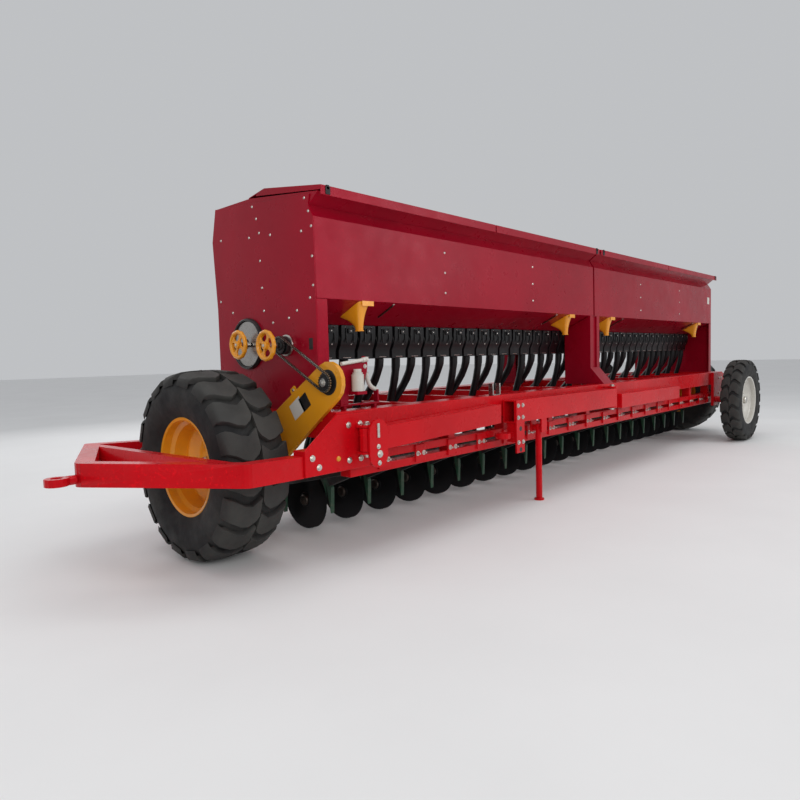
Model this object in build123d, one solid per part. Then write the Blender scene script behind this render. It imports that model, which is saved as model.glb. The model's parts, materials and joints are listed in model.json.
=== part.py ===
from build123d import *
from math import acos, atan2, cos, hypot, pi, radians, sin
import os

# Trailed end-wheel seed drill, 40 rows, with a lengthwise transport tongue and transport wheels.
# Working frame: X along the hopper, the drive end is -X; -Y is the front; Z is up from the ground.
# Lengths are millimetres, angles are degrees.

# Hopper
HOPPER_HALF = 3070.0
CENTRE_GAP = 24.0
SHEET = 4.0
END_SHEET = 6.0
FLANGE_WIDTH = 69.0
HOPPER_FRONT_Y = 28.0
HOPPER_DEPTH = 940.0
HOPPER_BACK_Y = HOPPER_FRONT_Y + HOPPER_DEPTH
BEND_Y = HOPPER_FRONT_Y + 3.0
LEDGE_Y = HOPPER_FRONT_Y + 41.0
LID_EDGE_Y = HOPPER_FRONT_Y - 48.0
BULGE_BACK_Y = HOPPER_BACK_Y + 30.0
TOP_BACK_Y = HOPPER_BACK_Y - 18.0
TOP_BACK_Z = 1955.0
BEND_Z = TOP_BACK_Z - 190.0
LEDGE_Z = TOP_BACK_Z - 128.0
LID_EDGE_Z = TOP_BACK_Z - 71.0
PANEL_BOTTOM_Z = 1353.0
TROUGH_Z = PANEL_BOTTOM_Z - 118.0
TROUGH_WIDTH = 110.0
RIDGE_Z = PANEL_BOTTOM_Z + 67.0
SEED_Y = HOPPER_FRONT_Y + 302.0
FERT_Y = HOPPER_FRONT_Y + 682.0

# Lids
LID_THICK = 5.0
LID_LIP = 48.0
LID_RISE = 26.0
LID_RIDGE_Y = LID_EDGE_Y + 470.0
LID_RIDGE_Z = TOP_BACK_Z + 30.0
LID_HINGE_Y = LID_EDGE_Y + 620.0
LID_LAP = 12.0
LID_SEAM = 12.0
LIDS_PER_HALF = 2

# Rows and openers
OPENERS_PER_RANK = 20
ROW_MARGIN = 70.0
ROW_PITCH = (HOPPER_HALF - ROW_MARGIN) / OPENERS_PER_RANK
DISC_RADIUS = 175.0
DISC_SIDES = 9
DISC_THICK = 4.0
DISC_ANGLE = 5.0
DISC_OFFSET = 19.0
DISC_LIFT = 15.0
STEM_HALF = 28.0
FRONT_HUB_Y = 530.0
RANK_STAGGER = 250.0
BOOT_THICK = 28.0
BOOT_TOP = 215.0
ARM_THICK = 44.0
ARM_DEPTH = 45.0

# Frame
BAR_INSET = 120.0
BAR_HALF = HOPPER_HALF - BAR_INSET
BAR_FRONT_Y = -100.0
BAR_DEPTH = 120.0
BAR_TOP_Z = 770.0
BAR_HEIGHT = 140.0
SILL_HEIGHT = 140.0
SILL_BACK_Y = HOPPER_FRONT_Y + 237.0
POST_HALF = 84.0
POST_GROOVE = 35.0
REAR_BAR_Y = HOPPER_BACK_Y - 38.0
BEAM_WIDTH = 60.0
RAIL_LOW_Z = 415.0
RAIL_HEIGHT = 45.0
RAIL_GAP = 30.0
RAIL_DEPTH = 80.0
RAIL_Y = -60.0
TAB_WIDTH = 86.0
TAB_OFFSET = 70.0
TAB_LOW_Z = RAIL_LOW_Z + 14.0
TAB_HIGH_Z = RAIL_LOW_Z + 113.0
TAB_THICK = 12.0
GUSSET_OUT = HOPPER_HALF + 215.0
GUSSET_LOW_Z = 470.0
GUSSET_NOSE_Z = 598.0
GUSSET_SHOULDER = HOPPER_HALF + 5.0
GUSSET_IN = HOPPER_HALF - 220.0
GUSSET_THICK = 12.0

# Folded drawbar in front of the main bar
DRAW_FRONT_Y = -205.0
DRAW_DEPTH = 95.0
PIN_RADIUS = 18.0
EAR_RADIUS = 40.0
STAY_HEIGHT = 120.0
STAY_Z = 561.0
STAY_RISE = 40.0
STAY_HINGE_X = -(HOPPER_HALF - 155.0)
POLE_HEIGHT = 150.0
POLE_Z = 585.0
POLE_HINGE_X = -60.0
POLE_LENGTH = 1550.0
POLE_END_X = POLE_HINGE_X - POLE_LENGTH
POLE_WALL = 8.0
STAY_END_X = POLE_END_X - 160.0
FRONT_STAY_X0 = 30.0
FRONT_STAY_X1 = 1370.0
HITCH_PLATE_TOP = POLE_Z + POLE_HEIGHT
HITCH_PLATE_BOTTOM = POLE_Z - 200.0
HITCH_PLATE_WIDTH = 95.0
HITCH_EYE_RADIUS = 22.0
HITCH_EYE_X = POLE_END_X - 75.0
HITCH_EYE_Z = POLE_Z - 80.0
JACK_X = POLE_END_X + 370.0
JACK_RADIUS = 23.0
JACK_FOOT_RADIUS = 36.0
JACK_PIVOT_Z = POLE_Z - 67.0

# Tongue round the near working wheel; it rises a little towards its eye
TONGUE_LOW_Z = 458.0
TONGUE_HEIGHT = 106.0
TONGUE_WIDTH = 80.0
TONGUE_SLOPE = 0.045
TONGUE_BEND = (-(HOPPER_HALF + 545.0), -112.0)
TONGUE_FRONT = (-(HOPPER_HALF + 1025.0), 420.0)
TONGUE_REAR = (-(HOPPER_HALF + 695.0), 1205.0)
TONGUE_EYE_X = -(HOPPER_HALF + 1143.0)
TONGUE_EYE_Z = 540.0
TONGUE_EYE_BORE = 25.0
TONGUE_EYE_OUTER = 50.0
TONGUE_EYE_THICK = 35.0
EYE_SIDES = 16

# Working wheels, axis along X
WHEEL_X = HOPPER_HALF + 350.0
WHEEL_Y = 530.0
TYRE_RADIUS = 500.0
TYRE_WIDTH = 370.0
TYRE_SIDES = 24
LUG_DEPTH = 28.0
LUG_COUNT = 18
LUG_DROP = 44.0
LUG_SHARE = 0.72
LUG_LEAN = 0.24
BEAD = 12.0
BEAD_SHARE = 0.72
RIM_RADIUS = 262.0
SEAT_GAP = 0.3
AXLE_RADIUS = 35.0
AXLE_CLEARANCE = 0.05
HUB_SIDES = 12

# Transport wheels, axis along Y
TRANSPORT_X = HOPPER_HALF - 330.0
TRANSPORT_RADIUS = 457.0
TRANSPORT_FRONT_Y = -397.0
TRANSPORT_REAR_Y = 1310.0
TRANSPORT_WIDTH = 200.0
TRANSPORT_RIM = 270.0
CARRIER_THICK = 30.0
CARRIER_HALF = 70.0

# Meters, tubes and drive
METER_WIDTH = ROW_PITCH - 20.0
METER_HEIGHT = 200.0
METER_DEPTH = 120.0
TUBE_RADIUS = 25.0
COVER_X = -(HOPPER_HALF + 30.0)
COVER_DEPTH = 24.0
COVER_TOP = (-80.0, 922.0)
COVER_RADIUS = 105.0
COVER_RADIUS_LOW = 135.0
PULLEY_HIGH = (HOPPER_FRONT_Y + 252.0, TROUGH_Z - 117.0)
PULLEY_RADIUS = 42.0
DRUM_RADIUS = 50.0
DRUM_FLANGE = 58.0
CHAIN_WIDTH = 20.0
GEAR_COVER_Y = HOPPER_FRONT_Y + 617.0
GEAR_COVER_Z = TROUGH_Z - 97.0
GEAR_COVER_RADIUS = 148.0
HAND_WHEEL_RADIUS = 83.0
HAND_WHEEL_HALF = 12.0
# Columns: y, z, how far its middle stands out of the end panel, where its shaft starts
HAND_WHEELS = ((PULLEY_HIGH[0], PULLEY_HIGH[1], 140.0, 76.0),
               (HOPPER_FRONT_Y + 578.0, TROUGH_Z - 103.0, 98.0, 24.0))
FUNNEL_X = (-(HOPPER_HALF - 300.0), -455.0, 300.0, HOPPER_HALF - 485.0)

# Rear footboard
BOARD_HALF = TRANSPORT_X - TRANSPORT_RADIUS - 80.0
BOARD_SUPPORTS = 5
BOARD_DEPTH = 300.0
BOARD_THICK = 6.0

OUT = "parts"
os.makedirs(OUT, exist_ok=True)


def box(x0, x1, y0, y1, z0, z1):
    return Pos((x0 + x1) / 2, (y0 + y1) / 2, (z0 + z1) / 2) * Box(x1 - x0, y1 - y0, z1 - z0)


def plate_x(points, x0, x1):
    """A plate across X from its outline of (y, z) corners."""
    wire = Wire.make_polygon([Vector(x0, y, z) for y, z in points], close=True)
    return Solid.extrude(Face(wire), Vector(x1 - x0, 0, 0))


def plate_y(points, y0, y1):
    """A plate across Y from its outline of (x, z) corners."""
    wire = Wire.make_polygon([Vector(x, y0, z) for x, z in points], close=True)
    return Solid.extrude(Face(wire), Vector(0, y1 - y0, 0))


def plate_z(points, z0, z1):
    """A plate across Z from its outline of (x, y) corners."""
    wire = Wire.make_polygon([Vector(x, y, z0) for x, y in points], close=True)
    return Solid.extrude(Face(wire), Vector(0, 0, z1 - z0))


def beam(a, b, width, z0, z1):
    """A level beam between two plan points."""
    run = hypot(b[0] - a[0], b[1] - a[1])
    nx, ny = -(b[1] - a[1]) / run * width / 2, (b[0] - a[0]) / run * width / 2
    corners = [(a[0] + nx, a[1] + ny), (b[0] + nx, b[1] + ny), (b[0] - nx, b[1] - ny), (a[0] - nx, a[1] - ny)]
    return plate_z(corners, z0, z1)


def rod(a, b, radius, sides=8):
    """A straight rod with flat sides between two points."""
    a, b = Vector(*a), Vector(*b)
    plane = Plane(origin=a, z_dir=(b - a).normalized())
    corners = [plane.from_local_coords(Vector(radius * cos(2 * pi * (i + 0.5) / sides),
                                              radius * sin(2 * pi * (i + 0.5) / sides), 0))
               for i in range(sides)]
    return Solid.extrude(Face(Wire.make_polygon(corners, close=True)), b - a)


def leaning_tube(top, low, radius, sides=5):
    """A tube that leans between two level cut ends, with a corner at its back."""
    corners = [Vector(top[0] + radius * sin(2 * pi * i / sides), top[1] + radius * cos(2 * pi * i / sides), top[2])
               for i in range(sides)]
    return Solid.extrude(Face(Wire.make_polygon(corners, close=True)), Vector(*low) - Vector(*top))


def stadium(a, b, radius_a, radius_b, steps=8):
    """The outline round two circles in one plane, as corners."""
    run = atan2(b[1] - a[1], b[0] - a[0])
    length = hypot(b[0] - a[0], b[1] - a[1])
    lean = acos((radius_a - radius_b) / length)
    points = []
    for i in range(steps + 1):
        angle = run + lean + (2 * pi - 2 * lean) * i / steps
        points.append((a[0] + radius_a * cos(angle), a[1] + radius_a * sin(angle)))
    for i in range(steps + 1):
        angle = run - lean + 2 * lean * i / steps
        points.append((b[0] + radius_b * cos(angle), b[1] + radius_b * sin(angle)))
    return points


def shaft(a, b, radius):
    """A round shaft between two points."""
    a, b = Vector(*a), Vector(*b)
    return Solid.make_cylinder(radius, (b - a).length, Plane(origin=a, z_dir=(b - a).normalized()))


def turned(profile, sides):
    """A closed profile of (axial, radius) corners turned about X in flat sides."""
    rings = []
    for i in range(sides):
        angle = 2 * pi * i / sides
        rings.append([Vector(x, r * cos(angle), r * sin(angle)) for x, r in profile])
    faces = []
    count = len(profile)
    for i in range(sides):
        one, two = rings[i], rings[(i + 1) % sides]
        for j in range(count):
            k = (j + 1) % count
            if profile[j][1] == 0 and profile[k][1] == 0:
                continue
            corners = [one[j], one[k], two[k], two[j]]
            if profile[j][1] == 0:
                corners = [one[j], one[k], two[k]]
            elif profile[k][1] == 0:
                corners = [one[j], one[k], two[j]]
            faces.append(Face(Wire.make_polygon(corners, close=True)))
    return Solid(Shell(faces))


def fuse(parts):
    whole = parts[0]
    for piece in parts[1:]:
        whole = whole + piece
    return whole


def rounded_plate(x0, x1, z0, z1, y0, y1):
    """An upright plate with round ends, as on a hinge."""
    radius = (x1 - x0) / 2
    middle = (x0 + x1) / 2
    return plate_y(stadium((middle, z0 + radius), (middle, z1 - radius), radius, radius), y0, y1)


def hopper_outline():
    """The (y, z) corners of the hopper's outer front, bottom and back, from the front lip round."""
    half_trough = TROUGH_WIDTH / 2
    ridge_y = (SEED_Y + FERT_Y) / 2
    return [(LID_EDGE_Y + 12, LID_EDGE_Z), (LEDGE_Y, LEDGE_Z), (BEND_Y, BEND_Z), (HOPPER_FRONT_Y, PANEL_BOTTOM_Z),
            (SEED_Y - half_trough, TROUGH_Z), (SEED_Y + half_trough, TROUGH_Z), (ridge_y, RIDGE_Z),
            (FERT_Y - half_trough, TROUGH_Z), (FERT_Y + half_trough, TROUGH_Z),
            (HOPPER_BACK_Y, PANEL_BOTTOM_Z), (BULGE_BACK_Y, BEND_Z), (TOP_BACK_Y, TOP_BACK_Z)]


def hopper_shell(x0, x1):
    """One hopper half: folded front, two troughs with a ridge between them, back and fixed rear top."""
    outline = hopper_outline()
    closed = outline + [(LID_HINGE_Y - LID_LAP, TOP_BACK_Z)]
    solid = plate_x(closed, x0, x1)
    inner = inset_outline(closed, SHEET)
    cavity = plate_x(inner, x0 + SHEET, x1 - SHEET)
    mouth_front = LEDGE_Y + SHEET
    mouth_z = TOP_BACK_Z + 30
    mouth_back = LID_HINGE_Y - LID_LAP
    mouth = plate_x([(mouth_front, LEDGE_Z + 12), (mouth_back, TOP_BACK_Z - 40),
                     (mouth_back, mouth_z), (mouth_front, mouth_z)], x0 + SHEET, x1 - SHEET)
    ridge_y = (SEED_Y + FERT_Y) / 2
    divider = plate_x([(ridge_y - SHEET / 2, RIDGE_Z), (ridge_y + SHEET / 2, RIDGE_Z),
                       (ridge_y + SHEET / 2, TOP_BACK_Z - 120), (ridge_y - SHEET / 2, TOP_BACK_Z - 120)],
                      x0 + SHEET, x1 - SHEET)
    return solid - cavity - mouth + divider


def inset_outline(points, distance):
    """The outline moved inwards by one wall, with its corners kept sharp."""
    area = sum(a[0] * b[1] - b[0] * a[1] for a, b in zip(points, points[1:] + points[:1]))
    side = 1 if area > 0 else -1
    lines = []
    for (ya, za), (yb, zb) in zip(points, points[1:] + points[:1]):
        run = hypot(yb - ya, zb - za)
        ny, nz = -(zb - za) / run * side * distance, (yb - ya) / run * side * distance
        lines.append(((ya + ny, za + nz), (yb - ya, zb - za)))
    result = []
    for (p, d), (q, e) in zip(lines[-1:] + lines[:-1], lines):
        cross = d[0] * e[1] - d[1] * e[0]
        t = ((q[0] - p[0]) * e[1] - (q[1] - p[1]) * e[0]) / cross
        result.append((p[0] + d[0] * t, p[1] + d[1] * t))
    return result


def front_floor_z(y):
    """The height of the hopper's front floor, just clear of it."""
    part = (y - HOPPER_FRONT_Y) / (SEED_Y - TROUGH_WIDTH / 2 - HOPPER_FRONT_Y)
    return PANEL_BOTTOM_Z + (TROUGH_Z - PANEL_BOTTOM_Z) * part - SEAT_GAP


def rear_floor_z(y):
    """The height of the hopper's rear floor, just clear of it."""
    part = (HOPPER_BACK_Y - y) / (HOPPER_BACK_Y - FERT_Y - TROUGH_WIDTH / 2)
    return PANEL_BOTTOM_Z + (TROUGH_Z - PANEL_BOTTOM_Z) * part - SEAT_GAP


def end_panel(x0, x1):
    """The big end sheet, down past the meters to the frame."""
    outline = [(HOPPER_FRONT_Y + 25, LID_EDGE_Z - 4), (LEDGE_Y, LEDGE_Z), (BEND_Y, BEND_Z),
               (HOPPER_FRONT_Y, BAR_TOP_Z), (HOPPER_BACK_Y, BAR_TOP_Z),
               (HOPPER_BACK_Y, PANEL_BOTTOM_Z), (BULGE_BACK_Y, BEND_Z), (TOP_BACK_Y, TOP_BACK_Z)]
    inward = FLANGE_WIDTH if x0 < 0 else -FLANGE_WIDTH
    flange_x = sorted((x1 if x0 < 0 else x0, (x1 if x0 < 0 else x0) + inward))
    flange = box(*flange_x, HOPPER_FRONT_Y, HOPPER_FRONT_Y + END_SHEET, BAR_TOP_Z,
                 PANEL_BOTTOM_Z - 3)
    return plate_x(outline, x0, x1) + flange


def lid(x0, x1):
    """One lid: a folded sheet with a front lip, a ridge and closed ends, hinged along its rear edge."""
    front = LID_EDGE_Y - 12
    front_z = LID_EDGE_Z + LID_RISE
    outer = [(front, front_z - LID_LIP), (front, front_z), (LID_RIDGE_Y, LID_RIDGE_Z),
             (LID_HINGE_Y, TOP_BACK_Z + LID_THICK + SEAT_GAP), (LID_HINGE_Y, TOP_BACK_Z + SEAT_GAP),
             (LID_RIDGE_Y, LID_RIDGE_Z - LID_THICK), (front + LID_THICK, front_z - LID_THICK),
             (front + LID_THICK, front_z - LID_LIP)]
    low_front = (LID_EDGE_Y + 12, LID_EDGE_Z + 5)
    low_back = (LID_HINGE_Y - LID_LAP - 60, TOP_BACK_Z + 2)
    cap = [(front, low_front[1]), (front, front_z), (LID_RIDGE_Y, LID_RIDGE_Z), (low_back[0], low_back[1] + 8),
           low_back, low_front]
    return fuse([plate_x(outer, x0, x1), plate_x(cap, x0, x0 + LID_THICK), plate_x(cap, x1 - LID_THICK, x1)])


def tyre_body(crown, width, rim_radius):
    """A bare tyre in flat sides, centred on the origin, axis along X."""
    half = width / 2
    one_side = [(BEAD_SHARE, rim_radius - BEAD), (0.94, rim_radius + 20), (1.0, (rim_radius + crown) / 2),
                (0.92, crown - 45), (0.62, crown)]
    profile = [(-half * share, r) for share, r in one_side] + [(half * share, r) for share, r in reversed(one_side)]
    return turned(profile, TYRE_SIDES)


def lugged_tyre(radius, width, rim_radius):
    """A traction tyre: two rows of wide tread bars, each row half a step behind the other."""
    lugs = []
    step = 360 / LUG_COUNT
    for side in (-1, 1):
        for i in range(LUG_COUNT):
            lugs.append(Rot(X=step * (i + (0.5 if side > 0 else 0))) * lug(radius, width / 2, side))
    return fuse([tyre_body(radius - LUG_DEPTH, width, rim_radius)] + lugs)


def lug(radius, half, side):
    """One slanted tread bar from the shoulder to the middle, its farthest corner at the tyre's radius."""
    outer_x, inner_x = side * half * 0.96, side * half * 0.04
    pitch = 2 * pi * radius / LUG_COUNT
    wide, lean = pitch * LUG_SHARE / 2, pitch * LUG_LEAN / 2
    reach = (radius ** 2 - (lean + wide) ** 2) ** 0.5
    root = reach - LUG_DEPTH - 14
    corners = []
    for inner_z, outer_z, spread in ((root, root - LUG_DROP - 36, 1.08), (reach, reach - LUG_DROP, 1.0)):
        half_width = wide * spread
        corners.append([Vector(inner_x, lean - half_width, inner_z), Vector(outer_x, -lean - half_width, outer_z),
                        Vector(outer_x, half_width - lean, outer_z), Vector(inner_x, lean + half_width, inner_z)])
    return Solid.make_loft([Wire.make_polygon(points, close=True) for points in corners], ruled=True)


def rim(width, rim_radius, dish, axle_radius):
    """A wheel rim with its dished disc and a bored hub, axis along X, its open face at -X."""
    half = width / 2 * BEAD_SHARE
    wall = 8.0
    well = rim_radius - 48
    face = dish - wall
    seat = rim_radius - BEAD - SEAT_GAP
    body = turned([(-half - 14, seat), (half + 14, seat), (half, well), (dish - 30, well), (dish, rim_radius - 90),
                   (dish, axle_radius + 20), (face, axle_radius + 20), (face, rim_radius - 90), (face - 30, well),
                   (-half, well)],
                  TYRE_SIDES)
    hub = rod((dish - 55, 0, 0), (dish + 35, 0, 0), axle_radius + 40, HUB_SIDES)
    bore = shaft((dish - 100, 0, 0), (dish + 100, 0, 0), axle_radius + AXLE_CLEARANCE)
    return (body + hub) - bore


nodes = {}


def make_hopper():
    inner = CENTRE_GAP / 2
    nodes["hopper_left"] = hopper_shell(-HOPPER_HALF + END_SHEET, -inner)
    nodes["hopper_right"] = hopper_shell(inner, HOPPER_HALF - END_SHEET)
    nodes["end_panel_left"] = end_panel(-HOPPER_HALF, -HOPPER_HALF + END_SHEET)
    nodes["end_panel_right"] = end_panel(HOPPER_HALF - END_SHEET, HOPPER_HALF)
    span = (HOPPER_HALF - inner) / LIDS_PER_HALF
    number = 1
    for start in (-HOPPER_HALF, inner):
        for i in range(LIDS_PER_HALF):
            x0 = start + i * span + LID_SEAM / 2
            nodes[f"lid_{number}"] = lid(x0, x0 + span - LID_SEAM)
            number += 1
    front, inside = HOPPER_FRONT_Y - 6, HOPPER_FRONT_Y + 40
    post = plate_x([(front, BAR_TOP_Z), (front, PANEL_BOTTOM_Z), (HOPPER_FRONT_Y, PANEL_BOTTOM_Z),
                    (inside, front_floor_z(inside)), (inside, BAR_TOP_Z)], -POST_HALF, POST_HALF)
    sill_top = BAR_TOP_Z + SILL_HEIGHT
    groove = box(-POST_GROOVE, POST_GROOVE, front - 1, front + 14, sill_top, PANEL_BOTTOM_Z - SHEET)
    sill = plate_x([(SILL_BACK_Y, BAR_TOP_Z), (SILL_BACK_Y, sill_top), (front, sill_top), (BAR_FRONT_Y, BAR_TOP_Z)],
                   -POST_HALF, POST_HALF)
    back_y, back_inside = HOPPER_BACK_Y, HOPPER_BACK_Y - 40
    back = plate_x([(back_inside, BAR_TOP_Z), (back_y, BAR_TOP_Z), (back_y, PANEL_BOTTOM_Z),
                    (back_inside, rear_floor_z(back_inside))], -POST_HALF, POST_HALF)
    walls = plate_x([(inside, sill_top), (SILL_BACK_Y, sill_top), (SILL_BACK_Y, front_floor_z(SILL_BACK_Y)),
                     (inside, front_floor_z(inside))], 0, SHEET)
    behind = FERT_Y + METER_DEPTH / 2 + 5
    back_walls = plate_x([(behind, BAR_TOP_Z), (back_inside, BAR_TOP_Z), (back_inside, rear_floor_z(back_inside)),
                          (behind, rear_floor_z(behind))], 0, SHEET)
    pieces = [post - groove, sill, back]
    for x in (-POST_HALF, POST_HALF - SHEET):
        pieces += [Pos(x, 0, 0) * walls, Pos(x, 0, 0) * back_walls]
    nodes["centre_post"] = fuse(pieces)


def make_frame():
    bar_back = BAR_FRONT_Y + BAR_DEPTH
    bar_low = BAR_TOP_Z - BAR_HEIGHT
    rear_back = REAR_BAR_Y + BAR_DEPTH
    nodes["main_bar"] = box(-BAR_HALF, BAR_HALF, BAR_FRONT_Y, bar_back, bar_low, BAR_TOP_Z)
    rear = box(-BAR_HALF, BAR_HALF, REAR_BAR_Y, rear_back, bar_low, BAR_TOP_Z)
    group = 4 * ROW_PITCH
    beams = [box(i * group - BEAM_WIDTH / 2, i * group + BEAM_WIDTH / 2, bar_back, REAR_BAR_Y, bar_low, BAR_TOP_Z)
             for i in range(-4, 5) if i != 0]
    nodes["rear_frame"] = fuse([rear] + beams)
    for side, name in ((-1, "left"), (1, "right")):
        x0, x1 = sorted((side * BAR_HALF, side * HOPPER_HALF))
        cross = box(x0, x1, BAR_FRONT_Y, rear_back, bar_low, BAR_TOP_Z)
        leg = box(x0, x1, WHEEL_Y - 70, WHEEL_Y + 70, TYRE_RADIUS - 60, bar_low)
        stub = shaft((side * (BAR_HALF + 20), WHEEL_Y, TYRE_RADIUS), (side * (WHEEL_X + 40), WHEEL_Y, TYRE_RADIUS),
                     AXLE_RADIUS)
        pieces = [cross, leg, stub]
        if side < 0:
            pieces.append(box(x0, x1, rear_back, TONGUE_REAR[1] + TONGUE_WIDTH / 2, TONGUE_LOW_Z, BAR_TOP_Z))
        nodes[f"end_frame_{name}"] = fuse(pieces)
        outline = [(side * GUSSET_IN, GUSSET_LOW_Z), (side * GUSSET_OUT, GUSSET_LOW_Z),
                   (side * GUSSET_OUT, GUSSET_NOSE_Z), (side * GUSSET_SHOULDER, BAR_TOP_Z - 12),
                   (side * GUSSET_IN, BAR_TOP_Z - 12)]
        face = plate_y(outline, BAR_FRONT_Y - GUSSET_THICK, BAR_FRONT_Y)
        x0, x1 = sorted((side * HOPPER_HALF, side * GUSSET_OUT))
        block = box(x0, x1, BAR_FRONT_Y, BAR_FRONT_Y + TONGUE_WIDTH, GUSSET_LOW_Z, GUSSET_NOSE_Z)
        nodes[f"gusset_{name}"] = fuse([face, block])
    rails = [box(-BAR_HALF, BAR_HALF, RAIL_Y, RAIL_Y + RAIL_DEPTH, z, z + RAIL_HEIGHT)
             for z in (RAIL_LOW_Z, RAIL_LOW_Z + RAIL_HEIGHT + RAIL_GAP)]
    tabs = [box(x + TAB_OFFSET - TAB_WIDTH / 2, x + TAB_OFFSET + TAB_WIDTH / 2, RAIL_Y - TAB_THICK, RAIL_Y,
                TAB_LOW_Z, TAB_HIGH_Z) for x in front_rows()[:-1]]
    hangers = [box(side * i * ROW_PITCH - 30, side * i * ROW_PITCH + 30, RAIL_Y, RAIL_Y + RAIL_DEPTH,
                   RAIL_LOW_Z, bar_low) for side in (-1, 1) for i in range(2, OPENERS_PER_RANK, 4)]
    nodes["opener_bar"] = fuse(rails + hangers + tabs)
    carriers = []
    stub_z = TRANSPORT_RADIUS
    for side, plate_y0, wheel_y in ((-1, BAR_FRONT_Y - CARRIER_THICK, TRANSPORT_FRONT_Y),
                                    (1, rear_back, TRANSPORT_REAR_Y)):
        plate = box(TRANSPORT_X - CARRIER_HALF, TRANSPORT_X + CARRIER_HALF, plate_y0, plate_y0 + CARRIER_THICK,
                    stub_z - CARRIER_HALF, BAR_TOP_Z)
        stub = shaft((TRANSPORT_X, plate_y0 + CARRIER_THICK / 2, stub_z), (TRANSPORT_X, wheel_y + side * 40, stub_z),
                     AXLE_RADIUS)
        carriers.append(plate + stub)
    nodes["transport_carriers"] = Compound(carriers)


def front_rows():
    first = -ROW_PITCH * (OPENERS_PER_RANK - 1.5)
    return [first + 2 * ROW_PITCH * i for i in range(OPENERS_PER_RANK)]


def rear_rows():
    return [x - ROW_PITCH for x in front_rows()]


def make_openers():
    hub_z = DISC_RADIUS + DISC_LIFT
    for rank, rows, hub_y in (("front", front_rows(), FRONT_HUB_Y), ("rear", rear_rows(), FRONT_HUB_Y + RANK_STAGGER)):
        boots, arms, discs = [], [], []
        disc = rod((-DISC_THICK / 2, 0, 0), (DISC_THICK / 2, 0, 0), DISC_RADIUS, DISC_SIDES)
        top = hub_z + BOOT_TOP
        over = hub_z + DISC_RADIUS + 4
        outline = [(hub_y + STEM_HALF, hub_z - 30), (hub_y + STEM_HALF, top), (hub_y - 175, top),
                   (hub_y - 235, hub_z + 100), (hub_y - 228, hub_z - 55), (hub_y - 184, over),
                   (hub_y - STEM_HALF, over), (hub_y - STEM_HALF, hub_z - 30)]
        for x in rows:
            boots.append(plate_x(outline, x - BOOT_THICK / 2, x + BOOT_THICK / 2))
            start_y = RAIL_Y + RAIL_DEPTH
            arms.append(plate_x([(start_y, RAIL_LOW_Z), (hub_y - 229.9, hub_z + 110), (hub_y - 206.4, hub_z + 155),
                                 (start_y, RAIL_LOW_Z + ARM_DEPTH)], x - ARM_THICK / 2, x + ARM_THICK / 2))
            for side in (-1, 1):
                discs.append(Pos(x + side * DISC_OFFSET, hub_y, hub_z) * Rot(Z=-side * DISC_ANGLE) * disc)
        nodes[f"opener_boots_{rank}"] = Compound(boots)
        nodes[f"opener_arms_{rank}"] = Compound(arms)
        nodes[f"discs_{rank}"] = Compound(discs)


def meter_xs():
    return sorted(front_rows() + rear_rows())


def make_meters():
    for name, y in (("meters_seed", SEED_Y), ("meters_fertiliser", FERT_Y)):
        outline = [(y - METER_DEPTH / 2, TROUGH_Z), (y + METER_DEPTH / 2, TROUGH_Z), (y + 30, TROUGH_Z - METER_HEIGHT),
                   (y - 40, TROUGH_Z - METER_HEIGHT), (y - METER_DEPTH / 2, TROUGH_Z - METER_HEIGHT * 0.6)]
        if y == FERT_Y:
            outline = outline[:4]
        nodes[name] = Compound([plate_x(outline, x - METER_WIDTH / 2, x + METER_WIDTH / 2) for x in meter_xs()])
    hub_z = DISC_RADIUS + DISC_LIFT
    tubes = {"front": [], "rear": []}
    rows = sorted([(x, FRONT_HUB_Y, "front") for x in front_rows()]
                  + [(x, FRONT_HUB_Y + RANK_STAGGER, "rear") for x in rear_rows()])
    for meter_x, (x, hub_y, rank) in zip(meter_xs(), rows):
        top = (meter_x, SEED_Y, TROUGH_Z - METER_HEIGHT)
        low = (x, hub_y - 60, hub_z + BOOT_TOP)
        tubes[rank].append(leaning_tube(top, low, TUBE_RADIUS))
    for rank, items in tubes.items():
        nodes[f"seed_tubes_{rank}"] = Compound(items)


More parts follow.
